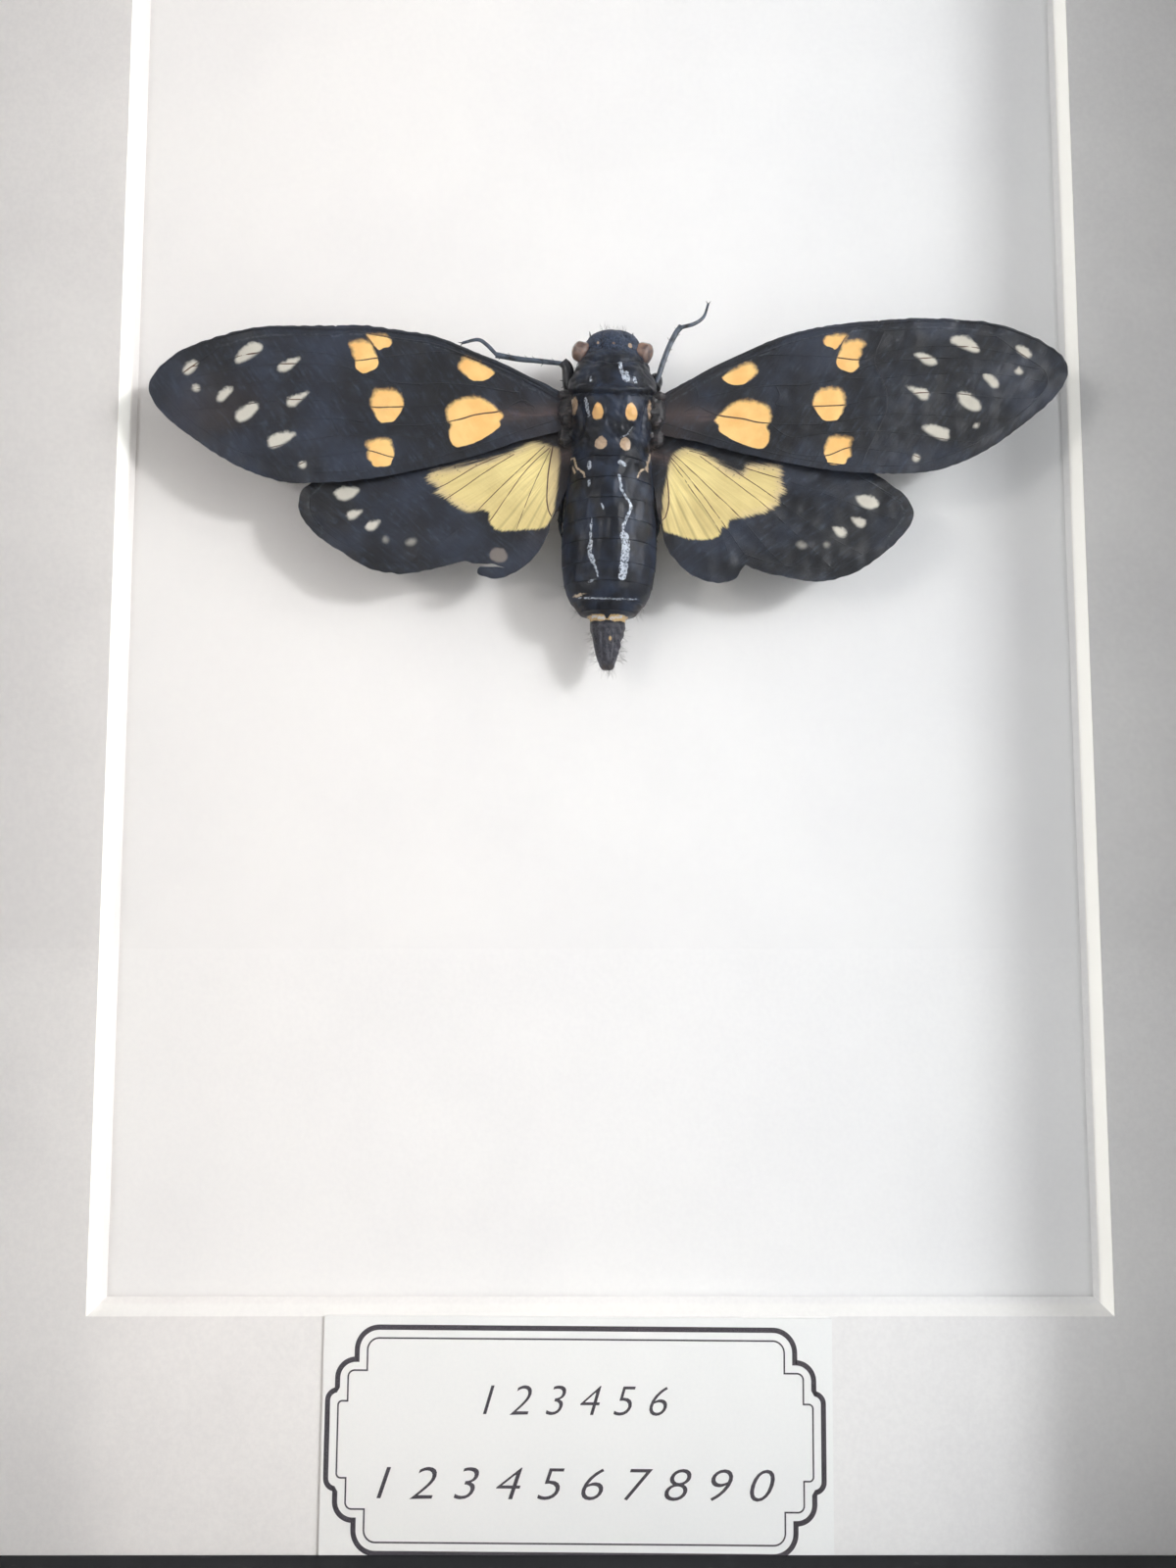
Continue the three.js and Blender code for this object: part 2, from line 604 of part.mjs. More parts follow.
function addCicada() {
  const lean = new THREE.Matrix4().makeRotationY(THREE.MathUtils.degToRad(BODY_LEAN_DEG));
  const body = Manifold.union(bodySolids()).transform(lean.elements);
  const whole = Manifold.union([body, ...WINGS.map(wingSolid)]);
  const cicada = addPiece('cicada', toGeometry(whole), MATERIALS.chitin);
  cicada.position.set(CICADA_X, boardFrontY, TAIL_TIP_Z + WING_STATION);
}

addRails();
addLiners();
addLayers();
addLabel();
addTabs();
addHanger();
addCicada();

export default object;
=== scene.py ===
"""A dried cicada with spread wings, set in a glazed black box frame.

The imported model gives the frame, glass, boards and back. This script makes the
insect and the card's printing around it, and gives every surface its finish.
Lengths are in millimetres until a mesh is made, and the front faces -Y.
"""

import logging
import math
from collections.abc import Callable, Sequence
from dataclasses import dataclass, field
from enum import Enum
from typing import Any

import bpy
import numpy as np
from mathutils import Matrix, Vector
from mathutils.geometry import delaunay_2d_cdt


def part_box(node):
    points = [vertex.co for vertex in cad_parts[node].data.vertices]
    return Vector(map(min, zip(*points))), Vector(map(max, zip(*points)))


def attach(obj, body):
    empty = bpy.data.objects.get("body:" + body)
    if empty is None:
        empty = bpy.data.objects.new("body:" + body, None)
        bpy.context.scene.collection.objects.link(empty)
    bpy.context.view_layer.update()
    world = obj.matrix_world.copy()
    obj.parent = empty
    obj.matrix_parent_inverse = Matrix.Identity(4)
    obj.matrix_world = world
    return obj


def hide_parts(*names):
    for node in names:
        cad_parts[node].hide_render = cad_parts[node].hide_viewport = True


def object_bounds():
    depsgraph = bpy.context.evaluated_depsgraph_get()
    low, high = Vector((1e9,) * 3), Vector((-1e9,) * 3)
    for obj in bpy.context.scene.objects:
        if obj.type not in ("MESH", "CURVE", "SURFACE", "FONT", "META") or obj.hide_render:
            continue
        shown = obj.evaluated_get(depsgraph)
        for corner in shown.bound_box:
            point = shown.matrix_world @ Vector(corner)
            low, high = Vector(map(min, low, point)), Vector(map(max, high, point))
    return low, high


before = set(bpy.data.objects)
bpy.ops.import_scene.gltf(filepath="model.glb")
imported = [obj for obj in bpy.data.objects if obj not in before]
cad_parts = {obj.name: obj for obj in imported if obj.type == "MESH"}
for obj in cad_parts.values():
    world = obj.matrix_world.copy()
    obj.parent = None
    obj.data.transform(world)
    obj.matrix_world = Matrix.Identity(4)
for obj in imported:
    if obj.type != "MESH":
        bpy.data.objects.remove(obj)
CAD_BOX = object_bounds()

LOG = logging.getLogger("cicada_frame")
MM = 0.001

Colour = tuple[float, float, float]
Pair = tuple[float, float]
Triple = tuple[float, float, float]


class Side(Enum):
    """The two sides of the insect, with the sign of their across direction."""

    LEFT = -1
    RIGHT = 1


def tone(red: int, green: int, blue: int) -> Colour:
    """Turns a screen colour, 0 to 255 a channel, into a linear one."""
    return tuple(((c / 255 + 0.055) / 1.055) ** 2.4 if c > 10 else c / 3295 for c in (red, green, blue))


def corner(node: str) -> tuple[np.ndarray, np.ndarray]:
    """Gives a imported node's lowest and highest corners in millimetres."""
    low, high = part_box(node)
    return np.array(low) / MM, np.array(high) / MM


# Shader wires


class Wire:
    """One output of a shader node, on which an expression adds Math nodes."""

    def __init__(self, sheet: "Sheet", socket: bpy.types.NodeSocket) -> None:
        """Keeps the socket and the sheet it is on.

        Args:
            sheet: The material's node sheet.
            socket: The output that this wire starts from.
        """
        self.sheet = sheet
        self.socket = socket

    def __add__(self, other: Any) -> "Wire":
        """Adds a number or a wire."""
        return self.sheet.math("ADD", self, other)

    def __sub__(self, other: Any) -> "Wire":
        """Takes a number or a wire away."""
        return self.sheet.math("SUBTRACT", self, other)

    def __rsub__(self, other: Any) -> "Wire":
        """Takes this wire away from a number."""
        return self.sheet.math("SUBTRACT", other, self)

    def __mul__(self, other: Any) -> "Wire":
        """Multiplies by a number or a wire."""
        return self.sheet.math("MULTIPLY", self, other)

    def __truediv__(self, other: Any) -> "Wire":
        """Divides by a number or a wire."""
        return self.sheet.math("DIVIDE", self, other)

    __radd__ = __add__
    __rmul__ = __mul__

    def most(self, other: Any) -> "Wire":
        """Gives the larger of this and another value."""
        return self.sheet.math("MAXIMUM", self, other)

    def least(self, other: Any) -> "Wire":
        """Gives the smaller of this and another value."""
        return self.sheet.math("MINIMUM", self, other)

    def size(self) -> "Wire":
        """Gives the value without its sign."""
        return self.sheet.math("ABSOLUTE", self)

    def step(self, low: Any, high: Any) -> "Wire":
        """Rises softly from 0 to 1 as the value goes from low to high."""
        inputs = {"Value": self, "From Min": low, "From Max": high}
        return self.sheet.node("ShaderNodeMapRange", {"interpolation_type": "SMOOTHSTEP"}, inputs)


class Sheet:
    """The node sheet of one material, or of the surroundings."""

    def __init__(self, owner: bpy.types.Material | bpy.types.World) -> None:
        """Empties the owner's node tree and starts on it.

        Args:
            owner: The material or the world.
        """
        owner.use_nodes = True
        self.tree = owner.node_tree
        self.tree.nodes.clear()
        self.way = self.node("ShaderNodeTexCoord", output="Generated")
        metres = Wire(self, self.way.socket.node.outputs["Object"])
        self.place = self.stretched(metres, (1 / MM, 1 / MM, 1 / MM))

    def node(
        self,
        kind: str,
        settings: dict[str, Any] | None = None,
        inputs: dict[Any, Any] | None = None,
        output: int | str = 0,
    ) -> Wire:
        """Adds any node, with its settings first and its sockets after them.

        Args:
            kind: The node's type.
            settings: Its own settings, such as a Math node's operation.
            inputs: Values or wires by socket name or number.
            output: Which output the wire starts from.

        Returns:
            The wire from that output.
        """
        made = self.tree.nodes.new(kind)
        for name, value in (settings or {}).items():
            setattr(made, name, value)
        for name, value in (inputs or {}).items():
            self.feed(made.inputs[name], value)
        return Wire(self, made.outputs[output])

    def feed(self, socket: bpy.types.NodeSocket, value: Any) -> None:
        """Links a wire to a socket, or sets a number or colour on it.

        Args:
            socket: The input.
            value: A wire, a number, or three numbers.
        """
        if isinstance(value, Wire):
            self.tree.links.new(value.socket, socket)
        elif isinstance(value, tuple) and len(socket.default_value) == 4:
            socket.default_value = (*value, 1.0)
        else:
            socket.default_value = value

    def math(self, operation: str, first: Any, second: Any = 0.0) -> Wire:
        """Adds one Math node."""
        return self.node("ShaderNodeMath", {"operation": operation}, {0: first, 1: second})

    def stretched(self, vector: Any, factors: Triple) -> Wire:
        """Multiplies a vector by three factors."""
        return self.node("ShaderNodeVectorMath", {"operation": "MULTIPLY"}, {0: vector, 1: factors})

    def turned(self, vector: Wire, degrees: float) -> Wire:
        """Turns a vector about the third axis."""
        inputs = {"Vector": vector, "Angle": math.radians(degrees)}
        return self.node("ShaderNodeVectorRotate", {"rotation_type": "Z_AXIS"}, inputs)

    def axes(self, vector: Wire) -> tuple[Wire, Wire, Wire]:
        """Splits a vector into its three parts.

        Args:
            vector: The vector.

        Returns:
            The wires of its first, second and third parts.
        """
        first = self.node("ShaderNodeSeparateXYZ", inputs={0: vector})
        outputs = first.socket.node.outputs
        return first, Wire(self, outputs[1]), Wire(self, outputs[2])

    def noise(self, scale: float, place: Wire | None = None, detail: float = 2.0, rough: float = 0.5) -> Wire:
        """Adds soft noise.

        Args:
            scale: How many times it repeats in a millimetre.
            place: Where it is read, the object's place if left out.
            detail: How many finer layers it has.
            rough: How strong the finer layers are.

        Returns:
            A value around one half.
        """
        inputs = {"Vector": place or self.place, "Scale": scale, "Detail": detail, "Roughness": rough}
        return self.node("ShaderNodeTexNoise", inputs=inputs)

    def specks(self, scale: float, place: Wire | None = None) -> Wire:
        """Gives the distance to the nearest of many scattered points."""
        inputs = {"Vector": place or self.place, "Scale": scale}
        return self.node("ShaderNodeTexVoronoi", inputs=inputs, output="Distance")

    def value(self, name: str) -> Wire:
        """Reads a number kept at the mesh's points."""
        return self.node("ShaderNodeAttribute", {"attribute_name": name}, output="Fac")

    def vector(self, name: str) -> Wire:
        """Reads a vector kept at the mesh's points."""
        return self.node("ShaderNodeAttribute", {"attribute_name": name}, output="Vector")

    def mix(self, factor: Any, first: Any, second: Any, blend: str = "MIX") -> Wire:
        """Goes from the first colour to the second as the factor goes from 0 to 1."""
        settings = {"data_type": "RGBA", "blend_type": blend}
        return self.node("ShaderNodeMix", settings, {0: factor, 6: first, 7: second}, output=2)

    def bump(self, height: Wire, depth: float, normal: Wire | None = None) -> Wire:
        """Turns a height into a normal.

        Args:
            height: The height, from 0 to 1.
            depth: What a height of 1 is, in millimetres.
            normal: A normal that it adds to.

        Returns:
            The bumped normal.
        """
        inputs = {"Strength": 1.0, "Distance": depth * MM, "Height": height}
        if normal:
            inputs["Normal"] = normal
        return self.node("ShaderNodeBump", inputs=inputs)

    def surface(self, **sockets: Any) -> None:
        """Ends the sheet with one Principled shader.

        Args:
            **sockets: Its sockets, with an underscore for each space.
        """
        inputs = {name.replace("_", " "): value for name, value in sockets.items()}
        shader = self.node("ShaderNodeBsdfPrincipled", inputs=inputs)
        end = self.tree.nodes.new("ShaderNodeOutputMaterial")
        self.tree.links.new(shader.socket, end.inputs["Surface"])


# Finishes


@dataclass(frozen=True)
class Finish:
    """A surface finish: its colours and the nodes that paint them."""

    name: str

    def material(self) -> bpy.types.Material:
        """Builds the material.

        Returns:
            The material.
        """
        made = bpy.data.materials.new(self.name)
        self.paint(Sheet(made))
        return made

    def paint(self, sheet: Sheet) -> None:
        """Adds the finish's nodes.

        Args:
            sheet: The empty node sheet.
        """
        raise NotImplementedError


@dataclass(frozen=True)
class Lacquer(Finish):
    """Black sprayed lacquer on wood, with faint orange peel, dust and rubbed edges."""

    name: str = "black_lacquer"
    black: Colour = tone(17, 18, 21)
    worn: Colour = tone(58, 55, 52)
    dust: Colour = tone(150, 148, 145)
    peel_depth: float = 0.012
    half_width: float = 85.0
    half_depth: float = 18.0
    tall: float = 220.0

    def paint(self, sheet: Sheet) -> None:
        """Adds the finish's nodes.

        Args:
            sheet: The empty node sheet.
        """
        grain = sheet.noise(0.9, sheet.stretched(sheet.place, (0.25, 1.0, 0.25)), 4)
        peel = sheet.noise(1.1, detail=2)
        fleck = sheet.specks(0.45)
        dusty = (1 - fleck.step(0.03, 0.06)) * sheet.noise(0.05).step(0.5, 0.62)
        x, y, z = sheet.axes(sheet.place)
        side = self.half_width - x.size()
        face = self.half_depth - y.size()
        end = self.tall / 2 - (z - self.tall / 2).size()
        edge = side.most(face).least(side.most(end)).least(face.most(end))
        rubbed = (1 - edge.step(0.15, 0.6)) * sheet.noise(0.3, detail=5).step(0.42, 0.62)
        base = sheet.mix(rubbed * 0.6, self.black, self.worn)
        base = sheet.mix(dusty * 0.5, base, self.dust)
        rough = 0.2 + grain * 0.14 + dusty * 0.4 + rubbed * 0.2
        normal = sheet.bump(peel + grain * 0.4, self.peel_depth)
        sheet.surface(Base_Color=base, Roughness=rough, Normal=normal, IOR=1.45)


@dataclass(frozen=True)
class BlackPaper(Finish):
    """The matt black paper that covers the spacer strips, with fine lint on it."""

    name: str = "liner_black"
    black: Colour = tone(21, 22, 26)
    grey: Colour = tone(36, 37, 42)
    lint: Colour = tone(120, 118, 116)

    def paint(self, sheet: Sheet) -> None:
        """Adds the finish's nodes.

        Args:
            sheet: The empty node sheet.
        """
        fibres = sheet.noise(2.6, detail=6, rough=0.7)
        stray = sheet.noise(0.8, sheet.stretched(sheet.place, (1.0, 2.6, 1.0)), 2).step(0.74, 0.76)
        base = sheet.mix(fibres.step(0.4, 0.75), self.black, self.grey)
        base = sheet.mix(stray * 0.5, base, self.lint)
        normal = sheet.bump(fibres, 0.03)
        sheet.surface(Base_Color=base, Roughness=0.7 + fibres * 0.2, Normal=normal, Specular_IOR_Level=0.12)


@dataclass(frozen=True)
class ClearGlass(Finish):
    """Clear picture glass."""

    name: str = "clear_glass"
    ior: float = 1.22

    def paint(self, sheet: Sheet) -> None:
        """Adds the finish's nodes."""
        sheet.surface(Base_Color=(1.0, 1.0, 1.0), Roughness=0.0, IOR=self.ior, Transmission_Weight=1.0)


@dataclass(frozen=True)
class Paper(Finish):
    """Paper or board, with fibres, a faint mottle, a painted light tint from warm on the left to cool on the
    right, and a cut edge of its core's colour.
    """

    name: str = "paper"
    face: Colour = tone(246, 245, 243)
    mottle: Colour = tone(234, 233, 232)
    fibre_depth: float = 0.02
    fibre_scale: float = 2.2
    # Painted light: the tint goes from warm on the left to cool on the right, as the light does.
    painted_warm_light: Colour = (1.0, 0.967, 0.943)
    painted_cool_light: Colour = (0.975, 0.987, 1.0)
    painted_light_half_width: float = 50.0

    def colour(self, sheet: Sheet) -> Wire:
        """Gives the board's colour, with a painted light tint a little warmer towards its left side and cooler
        towards its right.

        Args:
            sheet: The node sheet.

        Returns:
            The colour over the surface.
        """
        cloud = sheet.noise(0.05, detail=4).step(0.35, 0.65)
        fibres = sheet.noise(self.fibre_scale, detail=5, rough=0.65).step(0.3, 0.7)
        clean = sheet.mix(cloud * 0.5 + fibres * 0.4, self.face, self.mottle)
        # Painted light tint, warm on the left and cool on the right, multiplied into the paper's colour.
        x, _, _ = sheet.axes(sheet.place)
        painted_light_tint = sheet.mix(x.step(-self.painted_light_half_width, self.painted_light_half_width), self.painted_warm_light, self.painted_cool_light)
        return sheet.mix(1.0, clean, painted_light_tint, "MULTIPLY")

    def paint(self, sheet: Sheet) -> None:
        """Adds the finish's nodes.

        Args:
            sheet: The empty node sheet.
        """
        fibres = sheet.noise(self.fibre_scale, detail=6, rough=0.7)
        pulp = sheet.noise(self.fibre_scale * 0.2, detail=3)
        normal = sheet.bump(fibres + pulp * 0.5, self.fibre_depth)
        rough = 0.78 + fibres * 0.15
        sheet.surface(
            Base_Color=self.colour(sheet),
            Roughness=rough,
            Normal=normal,
            IOR=1.4,
            **self.light(sheet),
        )

    def light(self, sheet: Sheet) -> dict[str, Any]:
        """Gives sockets for light that the paper itself sends out: none."""
        return {}


@dataclass(frozen=True)
class MatPaper(Paper):
    """Mat board, whose slanted window edge shows its whiter core, with painted light and a painted glow making
    it brighter at the window's two sides.
    """

    name: str = "mat_paper"
    core: Colour = tone(252, 251, 245)
    # Painted light: strength of a glow on the slanted edge at the window's two sides.
    painted_glow: float = 0.27
    window_half: Pair = (48.0, 73.0)
    bevel: float = 1.4
    centre_z: float = 110.0

    def on_bevel(self, sheet: Sheet) -> tuple[Wire, Wire]:
        """Finds the clean part of the slanted edge.

        Args:
            sheet: The node sheet.

        Returns:
            One wire that is 1 on that part, and one that is 1 at the window's two sides, where painted light
            brightens it.
        """
        x, _, z = sheet.axes(sheet.place)
        beyond_side = x.size() - self.window_half[0]
        beyond_end = (z - self.centre_z).size() - self.window_half[1]
        beyond = beyond_side.most(beyond_end)
        clean = beyond.step(0.35, 0.7) * (1 - beyond.step(self.bevel - 0.04, self.bevel + 0.02))
        return clean, (beyond_side - beyond_end).step(-0.05, 0.05)

    def colour(self, sheet: Sheet) -> Wire:
        """Gives the board's colour, with the core's colour on the slanted edge, made stronger at the window's
        two sides by painted light.
        """
        clean, painted_light_sides = self.on_bevel(sheet)
        # Painted light: the core's colour is 0.3 strong at the window's ends and full at its two sides.
        return sheet.mix(clean * (0.3 + painted_light_sides * 0.7), super().colour(sheet), self.core)

    def light(self, sheet: Sheet) -> dict[str, Any]:
        """Gives the faint painted glow that brightens the core at the window's two sides.

        Args:
            sheet: The node sheet.

        Returns:
            The sockets of the painted glow.
        """
        clean, painted_light_sides = self.on_bevel(sheet)
        # Painted glow, from no lamp: the core's colour sent out at the window's two sides.
        painted_glow = sheet.mix(clean * painted_light_sides, (0.0, 0.0, 0.0), self.core)
        return {"Emission_Color": painted_glow, "Emission_Strength": self.painted_glow}


@dataclass(frozen=True)
class Ink(Finish):
    """Printing ink, a little uneven where the paper's fibres take it."""

    name: str = "label_ink"
    dark: Colour = tone(58, 53, 60)
    thin: Colour = tone(112, 106, 112)

    def paint(self, sheet: Sheet) -> None:
        """Adds the finish's nodes.

        Args:
            sheet: The empty node sheet.
        """
        uneven = sheet.noise(6.0, detail=5, rough=0.7).step(0.45, 0.75)
        base = sheet.mix(uneven * 0.6, self.dark, self.thin)
        sheet.surface(Base_Color=base, Roughness=0.7 + uneven * 0.15)


@dataclass(frozen=True)
class Fibreboard(Finish):
    """Pressed brown fibreboard with dark and pale fibres."""

    name: str = "fibreboard"
    brown: Colour = tone(148, 112, 74)
    pale: Colour = tone(184, 150, 108)
    dark: Colour = tone(96, 68, 44)

    def paint(self, sheet: Sheet) -> None:
        """Adds the finish's nodes.

        Args:
            sheet: The empty node sheet.
        """
        long_fibres = sheet.noise(0.9, sheet.stretched(sheet.place, (0.3, 1.0, 2.2)), 5, 0.7)
        cross_fibres = sheet.noise(0.9, sheet.stretched(sheet.place, (2.2, 1.0, 0.3)), 5, 0.7)
        base = sheet.mix(long_fibres.step(0.45, 0.75), self.brown, self.pale)
        base = sheet.mix(cross_fibres.step(0.55, 0.8), base, self.dark)
        normal = sheet.bump(long_fibres + cross_fibres, 0.06)
        sheet.surface(Base_Color=base, Roughness=0.75 + long_fibres * 0.2, Normal=normal)


@dataclass(frozen=True)
class PlatedSteel(Finish):
    """Zinc-plated sheet steel with fine scratches and dull patches."""

    name: str = "bright_steel"
    bright: Colour = tone(205, 206, 208)
    dull: Colour = tone(158, 160, 166)

    def paint(self, sheet: Sheet) -> None:
        """Adds the finish's nodes.

        Args:
            sheet: The empty node sheet.
        """
        scratches = sheet.noise(2.5, sheet.stretched(sheet.place, (0.2, 1.0, 4.0)), 4)
        patches = sheet.noise(0.35, detail=4).step(0.4, 0.7)
        base = sheet.mix(patches, self.bright, self.dull)
        rough = 0.22 + patches * 0.2 + scratches * 0.12
        sheet.surface(Base_Color=base, Metallic=1.0, Roughness=rough, Normal=sheet.bump(scratches, 0.006))


@dataclass(frozen=True)
class Chitin(Finish):
    """The insect's blue-black cuticle, glossy and wrinkled, with orange and tan marks and pale painted
    highlights along its shiny rows.
    """

    name: str = "cuticle"
    black: Colour = tone(15, 19, 28)
    blue: Colour = tone(37, 46, 64)
    orange: Colour = tone(222, 174, 110)
    tan: Colour = tone(186, 160, 132)
    ring: Colour = tone(206, 172, 112)
    pale: Colour = tone(190, 172, 148)
    leather: Colour = tone(64, 64, 72)
    furry: Colour = tone(62, 73, 94)
    # Painted highlight colour for the shiny rows and places.
    film: Colour = tone(206, 216, 230)
    wrinkle: float = 0.05

    def paint(self, sheet: Sheet) -> None:
        """Adds the finish's nodes.

        Args:
            sheet: The empty node sheet.
        """
        shift = (sheet.noise(3.0, detail=3) - 0.5) * 0.22
        orange = (sheet.value("orange") + shift * 0.6).step(-0.05, 0.05)
        tan = (sheet.value("tan") + shift).step(-0.05, 0.07)
        pale = (sheet.value("pale") + shift * 1.3).step(-0.05, 0.06)
        leather = sheet.value("leather")
        bloom = sheet.noise(0.5, detail=4).step(0.4, 0.7)
        pits = sheet.noise(4.5, detail=4, rough=0.6)
        creases = sheet.noise(1.3, sheet.stretched(sheet.place, (1.0, 1.0, 1.6)), 3)
        base = sheet.mix(bloom, self.black, self.blue)
        furry = sheet.value("furry")
        base = sheet.mix(leather * pits.step(0.3, 0.55), base, self.leather)
        base = sheet.mix(furry * pits.step(0.35, 0.6), base, self.furry)
        base = sheet.mix(tan * 0.9, base, sheet.mix(pits.step(0.35, 0.65), self.tan, self.leather))
        _, _, high = sheet.axes(sheet.place)
        tail_part = 1 - high.step(105.0, 107.0)
        base = sheet.mix(tan * 0.75, base, sheet.mix(tail_part, self.tan, self.ring))
        base = sheet.mix(orange, base, self.orange)
        base = sheet.mix(pale, base, self.pale)
        # Painted highlight: a pale blue-white colour along the shiny rows and places, besides their lower
        # roughness and coat.
        film = (sheet.value("gloss") + (creases - 0.5) * 0.3 + (pits - 0.5) * 0.15).step(0.0, 0.08)
        base = sheet.mix(film * pits.step(0.3, 0.6) * 0.75, base, self.film)
        sheen = film.most(orange * 0.8).most(tan * 0.6)
        rough = 0.34 + bloom * 0.08 + pits * 0.14 + furry * 0.2 - sheen * 0.25
        normal = sheet.bump(creases, self.wrinkle * 0.8)
        normal = sheet.bump(pits * (0.35 + film * 0.9 + furry * 0.8), self.wrinkle, normal)
        coat = {"Coat_Weight": sheen.most(leather * 0.3), "Coat_Roughness": 0.05}
        sheet.surface(Base_Color=base, Roughness=rough, Normal=normal, IOR=1.4, **coat)


@dataclass(frozen=True)
class LegHorn(Finish):
    """The legs' smooth dark horn, paler and greyer along the thin stretches."""

    name: str = "leg_horn"
    dark: Colour = tone(22, 25, 32)
    grey: Colour = tone(74, 84, 98)

    def paint(self, sheet: Sheet) -> None:
        """Adds the finish's nodes.

        Args:
            sheet: The empty node sheet.
        """
        thin = sheet.value("thin")
        grime = sheet.noise(1.6, detail=4)
        base = sheet.mix(thin * grime.step(0.25, 0.6), self.dark, self.grey)
        normal = sheet.bump(sheet.noise(5.0, detail=3), 0.03)
        rough = 0.16 + grime * 0.16
        sheet.surface(Base_Color=base, Roughness=rough, Normal=normal, IOR=1.55, Coat_Weight=0.5)


@dataclass(frozen=True)
class EyeHorn(Finish):
    """The dried compound eyes: clouded brown grey under a smooth clear coat."""

    name: str = "eye_horn"
    brown: Colour = tone(140, 112, 98)
    grey: Colour = tone(84, 76, 78)

    def paint(self, sheet: Sheet) -> None:
        """Adds the finish's nodes.

        Args:
            sheet: The empty node sheet.
        """
        cloud = sheet.noise(0.9, detail=4).step(0.35, 0.7)
        facets = sheet.specks(14.0)
        base = sheet.mix(cloud, self.brown, self.grey)
        normal = sheet.bump(facets, 0.004)
        sheet.surface(Base_Color=base, Roughness=0.12 + cloud * 0.1, Normal=normal, Coat_Weight=1.0, IOR=1.5)


@dataclass(frozen=True)
class Bristle(Finish):
    """Fine dark bristles, browner in places."""

    name: str = "bristle"
    dark: Colour = tone(30, 30, 34)
    brown: Colour = tone(92, 78, 66)

    def paint(self, sheet: Sheet) -> None:
        """Adds the finish's nodes."""
        base = sheet.mix(sheet.noise(0.7, detail=3).step(0.4, 0.65), self.dark, self.brown)
        sheet.surface(Base_Color=base, Roughness=0.45)


@dataclass(frozen=True)
class HingeHorn(Finish):
    """The furry brown-grey plates and stubs where the wings join the body."""

    name: str = "hinge_horn"
    dark: Colour = tone(24, 25, 30)
    brown: Colour = tone(66, 58, 60)

    def paint(self, sheet: Sheet) -> None:
        """Adds the finish's nodes.

        Args:
            sheet: The empty node sheet.
        """
        fur = sheet.noise(2.4, sheet.stretched(sheet.place, (0.5, 1.0, 1.8)), 5, 0.65)
        base = sheet.mix(fur.step(0.45, 0.68), self.dark, self.brown)
        normal = sheet.bump(fur, 0.06)
        sheet.surface(Base_Color=base, Roughness=0.3 + fur * 0.3, Normal=normal)


